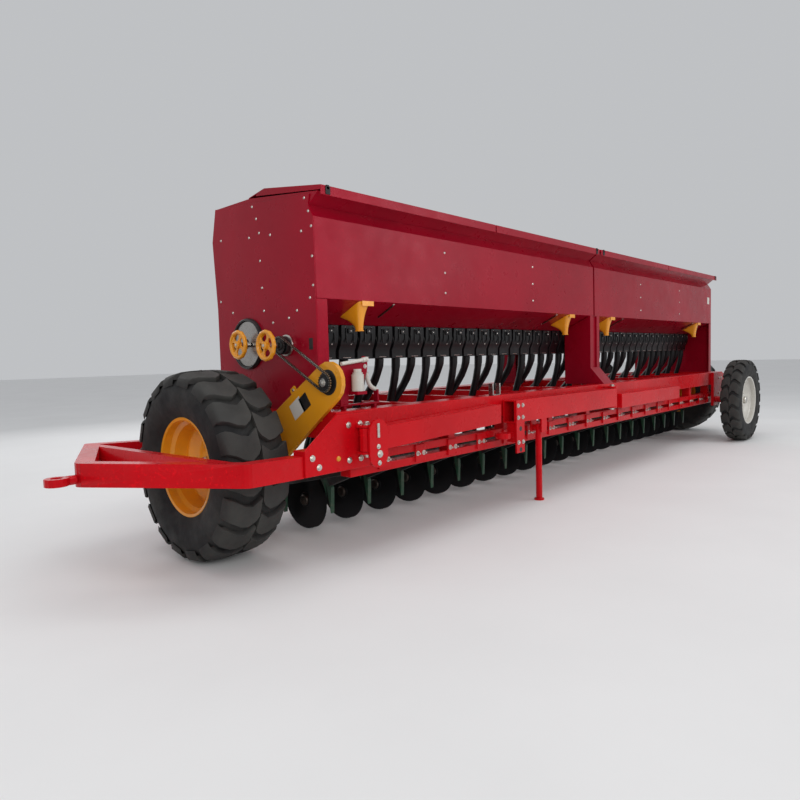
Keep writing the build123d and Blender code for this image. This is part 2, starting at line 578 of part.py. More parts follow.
def make_drawbar():
    back = DRAW_FRONT_Y + DRAW_DEPTH
    middle = (DRAW_FRONT_Y + back) / 2
    gap = 2.0
    ear = 14.0
    ears = []
    arc = [(middle - EAR_RADIUS * sin(pi * (i + 0.5) / 6), EAR_RADIUS * cos(pi * (i + 0.5) / 6)) for i in range(6)]
    for x, z, height, reach in ((STAY_HINGE_X, STAY_Z, STAY_HEIGHT, BAR_FRONT_Y - GUSSET_THICK),
                                (POLE_HINGE_X, POLE_Z, POLE_HEIGHT, BAR_FRONT_Y)):
        outline = [(x + 38, reach)] + [(x + dx, y) for y, dx in arc] + [(x - 38, reach)]
        for z0 in (z - gap - ear, z + height + gap):
            ears.append(plate_z(outline, z0, z0 + ear))
        ears.append(shaft((x, middle, z - gap - ear), (x, middle, z + height + gap + ear), PIN_RADIUS))
    low, high = ears[:3], ears[3:]
    nodes["stay_hinge"] = fuse(low)
    nodes["pole_hinge"] = fuse(high)

    def knuckled(hinge_x, bar, z, height):
        knuckle = rod((hinge_x, middle, z), (hinge_x, middle, z + height), 40, HUB_SIDES)
        bore = shaft((hinge_x, middle, z - 1), (hinge_x, middle, z + height + 1), PIN_RADIUS + 0.05)
        return bar + knuckle - bore

    whole = plate_y([(STAY_HINGE_X + 20, STAY_Z), (STAY_END_X, STAY_Z + STAY_RISE),
                     (STAY_END_X, STAY_Z + STAY_RISE + STAY_HEIGHT), (STAY_HINGE_X + 20, STAY_Z + STAY_HEIGHT)],
                    DRAW_FRONT_Y, back)
    relief = box(STAY_HINGE_X, -GUSSET_IN + 12, BAR_FRONT_Y - GUSSET_THICK - 6, back + 1, 0, BAR_TOP_Z)
    stay = whole - relief
    face = rounded_plate(STAY_HINGE_X - 38, STAY_HINGE_X + 92, STAY_Z - 85, STAY_Z + 167,
                         DRAW_FRONT_Y - 12, DRAW_FRONT_Y)
    nodes["drawbar_stay"] = knuckled(STAY_HINGE_X, stay, STAY_Z, STAY_HEIGHT) + face
    pole = box(POLE_END_X, POLE_HINGE_X - 30, DRAW_FRONT_Y, back, POLE_Z, POLE_Z + POLE_HEIGHT)
    hollow = box(POLE_END_X - 1, POLE_END_X + 160, DRAW_FRONT_Y + POLE_WALL, back - POLE_WALL,
                 POLE_Z + POLE_WALL, POLE_Z + POLE_HEIGHT - POLE_WALL)
    plate = box(POLE_END_X, POLE_END_X + HITCH_PLATE_WIDTH, DRAW_FRONT_Y - 12, DRAW_FRONT_Y,
                HITCH_PLATE_BOTTOM, HITCH_PLATE_TOP)
    jack_ears = [box(JACK_X - 35, JACK_X + 35, middle + s * 42 - 5, middle + s * 42 + 5, JACK_PIVOT_Z - 30, POLE_Z)
                 for s in (-1, 1)]
    jack_pin = shaft((JACK_X, middle - 47, JACK_PIVOT_Z), (JACK_X, middle + 47, JACK_PIVOT_Z), 10)
    nodes["drawbar_pole"] = fuse([knuckled(POLE_HINGE_X, pole, POLE_Z, POLE_HEIGHT) - hollow, plate] + jack_ears
                                 + [jack_pin])
    eye_x, eye_z = HITCH_EYE_X, HITCH_EYE_Z
    ring = rod((eye_x, middle, eye_z - 18), (eye_x, middle, eye_z + 18), 50, EYE_SIDES)
    neck = box(eye_x + 30, POLE_END_X + 85, middle - 25, middle + 25, eye_z - 18, eye_z + 18)
    foot = box(POLE_END_X + 10, POLE_END_X + 85, DRAW_FRONT_Y, middle + 25, eye_z - 50, POLE_Z)
    bore = shaft((eye_x, middle, eye_z - 20), (eye_x, middle, eye_z + 20), HITCH_EYE_RADIUS)
    nodes["hitch_eye"] = fuse([ring, neck, foot]) - bore
    leg = rod((JACK_X, middle, 12), (JACK_X, middle, JACK_PIVOT_Z + 28), JACK_RADIUS, 12)
    shoe = rod((JACK_X, middle, 0), (JACK_X, middle, 12), JACK_FOOT_RADIUS, 12)
    eye = rod((JACK_X, middle - 36, JACK_PIVOT_Z), (JACK_X, middle + 36, JACK_PIVOT_Z), 22)
    bore = shaft((JACK_X, middle - 60, JACK_PIVOT_Z), (JACK_X, middle + 60, JACK_PIVOT_Z), 10.05)
    nodes["jack_leg"] = fuse([leg, shoe, eye]) - bore
    nodes["front_rail"] = box(FRONT_STAY_X0, FRONT_STAY_X1, DRAW_FRONT_Y, BAR_FRONT_Y, STAY_Z, STAY_Z + STAY_HEIGHT)


def make_tongue():
    tall = (TONGUE_LOW_Z - 100, TONGUE_LOW_Z + 400)
    root = (-GUSSET_OUT + 30, BAR_FRONT_Y + TONGUE_WIDTH / 2 + 5)
    rear_root = (-HOPPER_HALF, TONGUE_REAR[1])
    brace = ((TONGUE_BEND[0] - 45, TONGUE_BEND[1] + 72), (TONGUE_REAR[0] - 10, TONGUE_REAR[1] - 45))
    arms = [beam(root, TONGUE_BEND, TONGUE_WIDTH, *tall), beam(TONGUE_BEND, TONGUE_FRONT, TONGUE_WIDTH, *tall),
            beam(TONGUE_FRONT, TONGUE_REAR, TONGUE_WIDTH, *tall), beam(*brace, 60, *tall),
            beam(TONGUE_REAR, rear_root, TONGUE_WIDTH, *tall)]
    arms += [rod((p[0], p[1], tall[0]), (p[0], p[1], tall[1]), TONGUE_WIDTH / 2, HUB_SIDES)
             for p in (TONGUE_BEND, TONGUE_FRONT, TONGUE_REAR)]
    far = TONGUE_EYE_X
    low = TONGUE_LOW_Z
    rise = (-HOPPER_HALF - far) * TONGUE_SLOPE
    slab = plate_y([(-HOPPER_HALF, low), (-HOPPER_HALF, low + TONGUE_HEIGHT), (far, low + TONGUE_HEIGHT + rise),
                    (far, low + rise)], TONGUE_BEND[1] - 200, TONGUE_REAR[1] + 200)
    end_face = box(-GUSSET_OUT, -HOPPER_HALF, -500, WHEEL_Y, 0, 1000)
    nodes["tongue"] = (fuse(arms) & slab) - end_face
    post_face = TONGUE_FRONT[0] - TONGUE_WIDTH / 2 * cos(pi / HUB_SIDES)
    eye_y = TONGUE_FRONT[1]
    neck = rod((post_face, eye_y, TONGUE_EYE_Z), (TONGUE_EYE_X + 40, eye_y, TONGUE_EYE_Z), 22)
    ring = rod((TONGUE_EYE_X, eye_y, TONGUE_EYE_Z - TONGUE_EYE_THICK / 2),
               (TONGUE_EYE_X, eye_y, TONGUE_EYE_Z + TONGUE_EYE_THICK / 2), TONGUE_EYE_OUTER, EYE_SIDES)
    bore = shaft((TONGUE_EYE_X, eye_y, TONGUE_EYE_Z - 40), (TONGUE_EYE_X, eye_y, TONGUE_EYE_Z + 40), TONGUE_EYE_BORE)
    nodes["tongue_eye"] = neck + ring - bore


def make_wheels():
    work_tyre = lugged_tyre(TYRE_RADIUS, TYRE_WIDTH, RIM_RADIUS)
    work_rim = rim(TYRE_WIDTH, RIM_RADIUS, 40, AXLE_RADIUS)
    for side, name in ((-1, "left"), (1, "right")):
        place = Pos(side * WHEEL_X, WHEEL_Y, TYRE_RADIUS) * Rot(Z=0 if side < 0 else 180)
        nodes[f"tyre_{name}"] = place * work_tyre
        nodes[f"rim_{name}"] = place * work_rim
    road_tyre = tyre_body(TRANSPORT_RADIUS, TRANSPORT_WIDTH, TRANSPORT_RIM)
    road_rim = rim(TRANSPORT_WIDTH, TRANSPORT_RIM, 20, AXLE_RADIUS)
    for y, name, turn in ((TRANSPORT_FRONT_Y, "front", 90), (TRANSPORT_REAR_Y, "rear", -90)):
        place = Pos(TRANSPORT_X, y, TRANSPORT_RADIUS) * Rot(Z=turn)
        nodes[f"transport_tyre_{name}"] = place * road_tyre
        nodes[f"transport_rim_{name}"] = place * road_rim


def make_drive():
    x0, x1 = COVER_X, COVER_X + COVER_DEPTH
    wheel = (WHEEL_Y, TYRE_RADIUS)
    cover = plate_x(stadium(COVER_TOP, wheel, COVER_RADIUS, COVER_RADIUS_LOW), x0, x1)
    axle_hole = shaft((x0 - 1, WHEEL_Y, TYRE_RADIUS), (x1 + 1, WHEEL_Y, TYRE_RADIUS), AXLE_RADIUS + 0.3)
    struts = box(x1, -HOPPER_HALF, 10, 70, BAR_TOP_Z - 50, BAR_TOP_Z - 5)
    nodes["chain_cover"] = cover + struts - axle_hole
    chain_x = x0 - 14 - CHAIN_WIDTH
    outer = plate_x(stadium(COVER_TOP, PULLEY_HIGH, PULLEY_RADIUS + 8, PULLEY_RADIUS + 8), chain_x, chain_x + CHAIN_WIDTH)
    inner = plate_x(stadium(COVER_TOP, PULLEY_HIGH, PULLEY_RADIUS, PULLEY_RADIUS), chain_x, chain_x + CHAIN_WIDTH)
    nodes["drive_chain"] = outer - inner
    radius = PULLEY_RADIUS * cos(pi / 16)
    sprocket = turned([(0, 0), (0, radius), (CHAIN_WIDTH, radius), (CHAIN_WIDTH, 0)], 16)
    low_y, low_z = COVER_TOP
    high_y, high_z = PULLEY_HIGH
    low_sprocket = Pos(chain_x, low_y, low_z) * sprocket + rod((chain_x - 12, low_y, low_z), (x0, low_y, low_z), 16, 8)
    drum_x, flange_x = chain_x + CHAIN_WIDTH + 2, -HOPPER_HALF - 14
    high_sprocket = fuse([Pos(chain_x, high_y, high_z) * sprocket,
                          rod((chain_x - 12, high_y, high_z), (drum_x + 5, high_y, high_z), 16, 8),
                          rod((drum_x, high_y, high_z), (flange_x, high_y, high_z), DRUM_RADIUS, 12),
                          rod((flange_x, high_y, high_z), (-HOPPER_HALF, high_y, high_z), DRUM_FLANGE, 12)])
    nodes["drive_sprockets"] = Compound([low_sprocket, high_sprocket])
    plate = turned([(-24, 0), (-24, GEAR_COVER_RADIUS - 8), (0, GEAR_COVER_RADIUS), (0, 0)], 20)
    nodes["gear_cover"] = Pos(-HOPPER_HALF, GEAR_COVER_Y, GEAR_COVER_Z) * plate
    wheels = []
    reach = HAND_WHEEL_RADIUS - 12
    ring = turned([(-HAND_WHEEL_HALF, HAND_WHEEL_RADIUS - 20), (-HAND_WHEEL_HALF, HAND_WHEEL_RADIUS),
                   (HAND_WHEEL_HALF, HAND_WHEEL_RADIUS), (HAND_WHEEL_HALF, HAND_WHEEL_RADIUS - 20)], 12)
    spokes = [Rot(X=90 * i) * box(-5, 5, -reach, reach, -9, 9) for i in range(2)]
    for y, z, out, start in HAND_WHEELS:
        hub = rod((-HOPPER_HALF - start, y, z), (-HOPPER_HALF - out - HAND_WHEEL_HALF, y, z), 16, 6)
        wheels.append(hub + Pos(-HOPPER_HALF - out, y, z) * fuse([ring] + spokes))
    nodes["hand_wheels"] = Compound(wheels)

    nodes["drain_funnels"] = Compound([funnel(x) for x in FUNNEL_X])


def funnel(x):
    """A drain funnel under the trough's front wall: a wide mouth narrowing to a spout."""
    mouth_y, mouth_half, spout_half = (30.0, 130.0), 75.0, 22.0
    spout_y, spout_z = (62.0, 104.0), 1185.0
    mouth = [Vector(x + side * mouth_half, y, front_floor_z(y))
             for side, y in ((-1, mouth_y[0]), (1, mouth_y[0]), (1, mouth_y[1]), (-1, mouth_y[1]))]
    spout = [Vector(x + side * spout_half, y, spout_z)
             for side, y in ((-1, spout_y[0]), (1, spout_y[0]), (1, spout_y[1]), (-1, spout_y[1]))]
    return Solid.make_loft([Wire.make_polygon(points, close=True) for points in (mouth, spout)], ruled=True)


def make_footboard():
    back = REAR_BAR_Y + BAR_DEPTH
    z = BAR_TOP_Z - 20
    board = box(-BOARD_HALF, BOARD_HALF, back + 20, back + 20 + BOARD_DEPTH, z - BOARD_THICK, z)
    step = 2 * (BOARD_HALF - 100) / (BOARD_SUPPORTS - 1)
    places = [step * i - (BOARD_HALF - 100) for i in range(BOARD_SUPPORTS)]
    supports = [plate_x([(back, z - 90), (back, z - BOARD_THICK), (back + BOARD_DEPTH, z - BOARD_THICK),
                         (back + BOARD_DEPTH, z - BOARD_THICK - 25)], x - 5, x + 5) for x in places]
    nodes["footboard"] = fuse([board] + supports)


make_hopper()
make_frame()
make_openers()
make_meters()
make_drawbar()
make_tongue()
make_wheels()
make_drive()
make_footboard()

# The origin is under the middle of the whole machine: eye to transport wheel, wheel to wheel
LOW_X = TONGUE_EYE_X - TONGUE_EYE_OUTER * cos(pi / EYE_SIDES)
HIGH_X = WHEEL_X + TYRE_WIDTH / 2
LOW_Y = TRANSPORT_FRONT_Y - TRANSPORT_WIDTH / 2
HIGH_Y = TRANSPORT_REAR_Y + TRANSPORT_WIDTH / 2
to_origin = Pos(-(LOW_X + HIGH_X) / 2, -(LOW_Y + HIGH_Y) / 2, 0)
boxes = []
for name, shape in nodes.items():
    solids = [to_origin * solid for solid in shape.solids()]
    placed = solids[0] if len(solids) == 1 else Compound(solids)
    placed.label = name
    boxes.append(placed.bounding_box())
    export_step(placed, f"{OUT}/{name}.step")
low = [min(getattr(b.min, k) for b in boxes) for k in "XYZ"]
high = [max(getattr(b.max, k) for b in boxes) for k in "XYZ"]
print("low corner", [round(value, 1) for value in low], "high corner", [round(value, 1) for value in high])
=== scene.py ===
import json
import math

import bpy
from mathutils import Matrix, Vector


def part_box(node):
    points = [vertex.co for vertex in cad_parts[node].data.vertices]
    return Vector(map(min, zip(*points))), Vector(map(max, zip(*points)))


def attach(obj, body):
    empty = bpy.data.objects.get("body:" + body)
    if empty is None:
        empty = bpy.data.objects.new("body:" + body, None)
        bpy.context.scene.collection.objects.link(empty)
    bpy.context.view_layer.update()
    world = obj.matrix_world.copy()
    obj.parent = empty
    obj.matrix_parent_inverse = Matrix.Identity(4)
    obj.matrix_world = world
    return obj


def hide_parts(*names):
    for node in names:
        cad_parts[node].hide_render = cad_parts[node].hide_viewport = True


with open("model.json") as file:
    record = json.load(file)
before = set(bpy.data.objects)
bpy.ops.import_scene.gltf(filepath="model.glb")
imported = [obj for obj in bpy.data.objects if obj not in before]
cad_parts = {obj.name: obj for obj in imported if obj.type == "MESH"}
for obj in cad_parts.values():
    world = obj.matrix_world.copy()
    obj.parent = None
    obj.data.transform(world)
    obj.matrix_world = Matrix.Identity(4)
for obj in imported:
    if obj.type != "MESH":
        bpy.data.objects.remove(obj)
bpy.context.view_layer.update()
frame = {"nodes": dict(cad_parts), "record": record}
NODES = frame["nodes"]


def centre(node):
    """The middle of a CAD node's box."""
    low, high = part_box(node)
    return (Vector(low) + Vector(high)) / 2


# Working wheels. Places are in the working frame, which starts at the hopper's middle, in its front
# plane and on the ground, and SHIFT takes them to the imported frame
WHEEL_X, WHEEL_Y, TYRE_RADIUS = 3.42, 0.53, 0.5
TYRE_WIDTH, RIM_RADIUS, RIM_DISH = 0.37, 0.262, 0.04
LUG_DEPTH, LUGS, BEAD_SHARE = 0.028, 18, 0.72
SHIFT = Vector((centre("tyre_left").x + WHEEL_X, centre("tyre_left").y - WHEEL_Y, 0))

# Transport wheels
TRANSPORT_X, TRANSPORT_FRONT_Y, TRANSPORT_REAR_Y = 2.74, -0.397, 1.31
TRANSPORT_RADIUS, TRANSPORT_WIDTH = 0.457, 0.2
TRANSPORT_RIM, TRANSPORT_DISH = 0.27, 0.02
TRANSPORT_LUG_DEPTH, TRANSPORT_LUGS = 0.016, 20

# Hopper and lids
HOPPER_HALF, HOPPER_FRONT_Y, HOPPER_BACK_Y = 3.07, 0.028, 0.968
PANEL_BOTTOM_Z, BEND_Y, BEND_Z = 1.353, 0.031, 1.765
TROUGH_Z, TOP_BACK_Z, BACK_LEAN = 1.235, 1.955, 0.0728
LID_FRONT_Y, LID_FRONT_Z, LID_HINGE_Y = -0.032, 1.910, 0.6
LID_SPANS = ((-3.064, -1.547), (-1.535, -0.018), (0.018, 1.535), (1.547, 3.064))

# Meters, tubes, openers and drain funnels
SEED_Y, FERT_Y = 0.33, 0.71
METER_DEPTH, METER_HEIGHT, METER_WIDTH = 0.12, 0.2, 0.13
ROW_PITCH, OPENERS_PER_RANK = 0.15, 20
FRONT_HUB_Y, RANK_STAGGER = 0.53, 0.25
DISC_RADIUS, DISC_OFFSET, DISC_ANGLE, DISC_LIFT = 0.175, 0.019, 5.0, 0.015
HUB_Z = DISC_RADIUS + DISC_LIFT
BOOT_TOP, BOOT_AHEAD = 0.215, 0.06
FUNNEL_X, FUNNEL_SHIFT = (-2.77, -0.455, 0.3, 2.585), 0.05

# Frame and drawbar
BAR_FRONT_Y, BAR_TOP_Z = -0.1, 0.77
GUSSET_FACE_Y = BAR_FRONT_Y - 0.012
RAIL_Y, TAB_THICK, TAB_OFFSET, TAB_BOLT_Z = -0.06, 0.012, 0.07, 0.478
DRAWBAR_FACE_Y = -0.217

# Drive at the left end
COVER_FACE_X, COVER_TOP, COVER_LOW = -3.1, (-0.08, 0.922), (WHEEL_Y, TYRE_RADIUS)
PULLEY_HIGH, PULLEY_RADIUS, SPROCKET_TEETH = (0.28, 1.118), 0.042, 20
CHAIN_X, CHAIN_RISE, CHAIN_LINKS = -3.124, 0.004, 88
LINK_HEIGHT, LINK_WAIST, LINK_THICK = 0.0105, 0.008, 0.0015
GEAR_COVER = (0.645, 1.138)
HAND_WHEELS = ((0.28, 1.118, 3.21), (0.606, 1.132, 3.168))
HAND_WHEEL_OUT, LOBES, LOBE_RISE, SHAFT_RADIUS = 0.0815, 12, 0.0014, 0.015

AHEAD = (0, -1, 0)


# Node materials


class Shader:
    """A small builder for one node material."""

    def __init__(self, name):
        self.material = bpy.data.materials.new(name)
        self.material.use_nodes = True
        self.tree = self.material.node_tree
        self.surface = self.tree.nodes["Principled BSDF"]

    def add(self, kind, **inputs):
        node = self.tree.nodes.new(kind)
        for key, value in inputs.items():
            self.put(node, key.replace("_", " "), value)
        return node

    def put(self, node, key, value):
        socket = node.inputs[key]
        if isinstance(value, bpy.types.NodeSocket):
            self.tree.links.new(value, socket)
        else:
            socket.default_value = value

    def set(self, key, value):
        self.put(self.surface, key, value)

    def coords(self):
        return self.add("ShaderNodeTexCoord").outputs["Object"]

    def edges(self):
        """High where the surface is an outer edge."""
        return self.add("ShaderNodeNewGeometry").outputs["Pointiness"]

    def noise(self, scale, detail=3.0, roughness=0.55, vector=None):
        return self.add("ShaderNodeTexNoise", Vector=vector or self.coords(), Scale=scale, Detail=detail,
                        Roughness=roughness).outputs["Fac"]

    def ramp(self, value, low, high, start=0.0, end=1.0):
        return self.add("ShaderNodeMapRange", Value=value, From_Min=low, From_Max=high, To_Min=start,
                        To_Max=end).outputs["Result"]

    def vary(self, noise, start=0.0, end=1.0):
        """A value from start to end over the middle of a noise's range."""
        return self.ramp(noise, 0.3, 0.7, start, end)

    def mix(self, factor, a, b):
        node = self.tree.nodes.new("ShaderNodeMix")
        node.data_type = "RGBA"
        for index, value in ((0, factor), (6, a), (7, b)):
            if isinstance(value, bpy.types.NodeSocket):
                self.tree.links.new(value, node.inputs[index])
            else:
                node.inputs[index].default_value = value
        return node.outputs[2]

    def times(self, a, b):
        node = self.tree.nodes.new("ShaderNodeMath")
        node.operation = "MULTIPLY"
        self.put(node, 0, a)
        self.put(node, 1, b)
        return node.outputs[0]

    def bump(self, height, strength, distance):
        node = self.add("ShaderNodeBump", Height=height, Strength=strength, Distance=distance)
        self.set("Normal", node.outputs["Normal"])


def rgba(colour, gain=1.0):
    return tuple(c * gain for c in colour) + (1.0,)


DUST = (0.20, 0.15, 0.12)
DUST_TOP = 0.9


def paint(name, colour, roughness=0.3, dust=0.25, coat=0.4, sheen=(1.0, 1.0, 1.0)):
    """Sprayed paint: faint orange peel, slow changes of tone, dust low down and wear along edges."""
    s = Shader(name)
    slow = s.ramp(s.noise(1.7, 4.0), 0.35, 0.65)
    tone = s.mix(slow, rgba(colour, 0.86), rgba(colour, 1.08))
    height = s.add("ShaderNodeSeparateXYZ", Vector=s.coords()).outputs["Z"]
    low = s.ramp(height, 0.0, DUST_TOP, dust, dust * 0.15)
    specks = s.times(low, s.ramp(s.noise(23.0, 6.0, 0.7), 0.45, 0.75))
    dusted = s.mix(specks, tone, rgba(DUST))
    edge = s.ramp(s.edges(), 0.53, 0.6)
    chips = s.times(edge, s.ramp(s.noise(60.0, 4.0), 0.55, 0.7, 0.0, 0.6))
    s.set("Base Color", s.mix(chips, dusted, rgba(colour, 1.5)))
    s.set("Roughness", s.vary(s.noise(9.0, 5.0), roughness - 0.06, roughness + 0.1))
    s.set("Coat Weight", coat)
    s.set("Specular IOR Level", 0.38)
    s.set("Specular Tint", rgba(sheen))
    s.set("Coat Roughness", 0.12)
    s.bump(s.noise(240.0, 2.0), 0.12, 0.002)
    return s.material


def rubber(name, dark, grey, worn):
    """Tyre rubber: grey bloom on the lugs' faces, fine grain and dried dust in patches."""
    s = Shader(name)
    patches = s.ramp(s.noise(5.0, 6.0, 0.65), 0.4, 0.7)
    tone = s.mix(patches, rgba(dark), rgba(grey))
    edge = s.ramp(s.edges(), 0.5, 0.6, 0.0, 0.5)
    s.set("Base Color", s.mix(edge, tone, rgba(worn)))
    s.set("Roughness", s.vary(s.noise(14.0, 4.0), 0.62, 0.85))
    s.set("Specular IOR Level", 0.35)
    s.bump(s.noise(160.0, 5.0, 0.7), 0.35, 0.002)
    return s.material


def plastic(name, colour, roughness):
    """Moulded plastic with a fine grain."""
    s = Shader(name)
    slow = s.ramp(s.noise(6.0, 4.0), 0.35, 0.65)
    s.set("Base Color", s.mix(slow, rgba(colour, 0.8), rgba(colour, 1.25)))
    s.set("Roughness", s.vary(s.noise(30.0, 3.0), roughness - 0.05, roughness + 0.12))
    s.set("Specular IOR Level", 0.3)
    s.bump(s.noise(420.0, 2.0), 0.15, 0.001)
    return s.material


def metal(name, colour, roughness, metallic=1.0, tarnish=(0.12, 0.09, 0.07), amount=0.3):
    """Bare or plated metal with light scratches and tarnish in patches."""
    s = Shader(name)
    patches = s.ramp(s.noise(11.0, 6.0, 0.7), 0.5, 0.75, 0.0, amount)
    s.set("Base Color", s.mix(patches, rgba(colour), rgba(tarnish)))
    stretched = s.add("ShaderNodeMapping", Vector=s.coords(), Scale=(3.0, 3.0, 90.0)).outputs["Vector"]
    scratches = s.noise(9.0, 4.0, 0.6, stretched)
    s.set("Roughness", s.vary(scratches, roughness - 0.07, roughness + 0.15))
    s.set("Metallic", metallic)
    s.bump(scratches, 0.06, 0.001)
    return s.material


MATERIALS = {
    "hopper_paint": paint("hopper_paint", (0.29, 0.002, 0.014), roughness=0.30, dust=0.05, coat=0.04,
                          sheen=(1.0, 0.12, 0.2)),
    "frame_paint": paint("frame_paint", (0.56, 0.003, 0.008), roughness=0.28, dust=0.07, coat=0.06,
                         sheen=(1.0, 0.15, 0.18)),
    "rim_yellow": paint("rim_yellow", (0.83, 0.33, 0.012), roughness=0.33, dust=0.25),
    "rim_white": paint("rim_white", (0.62, 0.60, 0.55), roughness=0.38, dust=0.3),
    "tyre_rubber": rubber("tyre_rubber", (0.010, 0.010, 0.011), (0.035, 0.034, 0.031), (0.07, 0.068, 0.062)),
    "cover_amber": paint("cover_amber", (0.72, 0.30, 0.010), roughness=0.32, dust=0.15),
    "casting_green": paint("casting_green", (0.012, 0.060, 0.030), roughness=0.42, dust=0.35, coat=0.1),
    "disc_steel": metal("disc_steel", (0.020, 0.020, 0.022), 0.34, 0.7, (0.02, 0.016, 0.013)),
    "black_plastic": plastic("black_plastic", (0.0035, 0.0035, 0.0045), 0.34),
    "black_paint": paint("black_paint", (0.012, 0.012, 0.013), roughness=0.4, dust=0.3, coat=0.15),
    "chain_steel": metal("chain_steel", (0.30, 0.29, 0.27), 0.34),
    "panel_grey": metal("panel_grey", (0.42, 0.40, 0.38), 0.22, 1.0, (0.20, 0.14, 0.10), 0.5),
}
ZINC = metal("zinc_bolts", (0.62, 0.60, 0.56), 0.26, 1.0, (0.35, 0.29, 0.18), 0.35)
DARK_STEEL = metal("dark_chain", (0.085, 0.072, 0.062), 0.38, 0.9, (0.05, 0.03, 0.02), 0.5)


# Mesh helpers


def spot(x, y, z):
    """A point of the working frame, in metres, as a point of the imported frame."""
    return Vector((x, y, z)) + SHIFT


def at_point(x, y, z, turn=0.0):
    """A place in the working frame, turned about Z."""
    return Matrix.Translation(spot(x, y, z)) @ Matrix.Rotation(math.radians(turn), 4, "Z")


def moved(x, y=0.0, z=0.0):
    return Matrix.Translation((x, y, z))


def circle(count):
    """The angles of count even steps round a circle."""
    return [2 * math.pi * i / count for i in range(count)]


class Shape:
    """Vertices and faces gathered from many small forms."""

    def __init__(self):
        self.verts, self.faces = [], []

    def take(self, verts, faces, place=None):
        start = len(self.verts)
        self.verts += [place @ Vector(v) for v in verts] if place is not None else [Vector(v) for v in verts]
        self.faces += [tuple(start + i for i in face) for face in faces]
        return self

    def copy(self, other, place):
        return self.take(other.verts, other.faces, place)

    def block(self, low, high, place=None):
        """A plain block, its edges rounded later by the piece's bevel."""
        (x0, y0, z0), (x1, y1, z1) = low, high
        verts = [(x, y, z) for z in (z0, z1) for x, y in ((x0, y0), (x1, y0), (x1, y1), (x0, y1))]
        faces = [(3, 2, 1, 0), (4, 5, 6, 7), (0, 1, 5, 4), (1, 2, 6, 5), (2, 3, 7, 6), (3, 0, 4, 7)]
        return self.take(verts, faces, place)

    def skin(self, rings, place=None, closed=True, around=True):
        """Rings of points, each closed or open, joined one to the next and around to the first."""
        count, faces = len(rings[0]), []
        for i in range(len(rings) if around else len(rings) - 1):
            j = (i + 1) % len(rings)
            for k in range(count if closed else count - 1):
                m = (k + 1) % count
                faces.append((i * count + k, i * count + m, j * count + m, j * count + k))
        return self.take([v for ring in rings for v in ring], faces, place)

    def loft(self, rings):
        """Closed rings joined one to the next, with a flat polygon at both ends."""
        start, count = len(self.verts), len(rings[0])
        self.skin(rings, around=False)
        last = start + (len(rings) - 1) * count
        self.faces.append(tuple(start + k for k in reversed(range(count))))
        self.faces.append(tuple(last + k for k in range(count)))
        return self

    def lathe(self, profile, sides, place=None, closed=True):
        """A profile of (x, radius) turned about X."""
        rings = [[(x, r * math.cos(turn), r * math.sin(turn)) for x, r in profile] for turn in circle(sides)]
        return self.skin(rings, place, closed)

    def plug(self, profile, sides, place=None):
        """A turned form about X whose two ends are closed with a flat polygon."""
        start = len(self.verts)
        self.lathe(profile, sides, place, closed=False)
        count = len(profile)
        self.faces.append(tuple(start + i * count for i in range(sides)))
        self.faces.append(tuple(start + i * count + count - 1 for i in reversed(range(sides))))
        return self

    def plate(self, outline, depth, place=None):
        """An outline of (y, z) corners, given depth along X from 0."""
        count = len(outline)
        verts = [(0, y, z) for y, z in outline] + [(depth, y, z) for y, z in outline]
        faces = [tuple(reversed(range(count))), tuple(range(count, 2 * count))]
        faces += [(i, (i + 1) % count, count + (i + 1) % count, count + i) for i in range(count)]
        return self.take(verts, faces, place)

    def tube(self, path, radius, sides=16):
        """A round tube along points; radius may be one number or one for each point."""
        points = [Vector(p) for p in path]
        radii = radius if isinstance(radius, list) else [radius] * len(points)
        side, rings = None, []
        for i, point in enumerate(points):
            ahead = points[min(i + 1, len(points) - 1)] - points[max(i - 1, 0)]
            ahead.normalize()
            if side is None:
                side = ahead.orthogonal().normalized()
            side = (side - ahead * side.dot(ahead)).normalized()
            other = ahead.cross(side)
            rings.append([point + (side * math.cos(angle) + other * math.sin(angle)) * radii[i]
                          for angle in circle(sides)])
        return self.loft(rings)

    def bolt(self, at, direction, size):
        """A hexagon bolt head on a washer, standing out along direction."""
        turn = Vector(direction).to_track_quat("X", "Z").to_matrix().to_4x4()
        place = Matrix.Translation(at) @ turn
        self.plug([(0, size * 1.5), (size * 0.22, size * 1.5), (size * 0.3, size * 1.4)], 16, place)
        self.plug([(size * 0.2, size), (size * 0.85, size), (size * 1.0, size * 0.86)], 6, place)
        return self

    def dome(self, at, direction, radius):
        """A rivet's round head."""
        turn = Vector(direction).to_track_quat("X", "Z").to_matrix().to_4x4()
        rise = radius * 0.5
        place = Matrix.Translation(at) @ turn
        return self.plug([(0, radius), (rise * 0.6, radius * 0.8), (rise, radius * 0.3)], 10, place)

    def piece(self, name, slot, body="frame", bevel=0.0, angle=32.0, segments=2, replaces=(), material=None):
        """One Blender object of everything gathered, in its slot's material unless another is given."""
        mesh = bpy.data.meshes.new(name)
        mesh.from_pydata(self.verts, [], self.faces)
        mesh.validate()
        mesh.shade_smooth()
        mesh.set_sharp_from_angle(angle=math.radians(angle))
        obj = bpy.data.objects.new(name, mesh)
        bpy.context.scene.collection.objects.link(obj)
        mesh.materials.append(material or MATERIALS[slot])
        if bevel:
            rounded(obj, bevel, segments)
        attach(obj, body)
        if replaces:
            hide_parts(*replaces)
        return obj


def rounded(obj, width, segments=2):
    """Rounds an object's sharp edges."""
    modifier = obj.modifiers.new("rounded", "BEVEL")
    modifier.width = width
    modifier.segments = segments
    modifier.limit_method = "ANGLE"
    modifier.angle_limit = math.radians(30)
    modifier.harden_normals = False


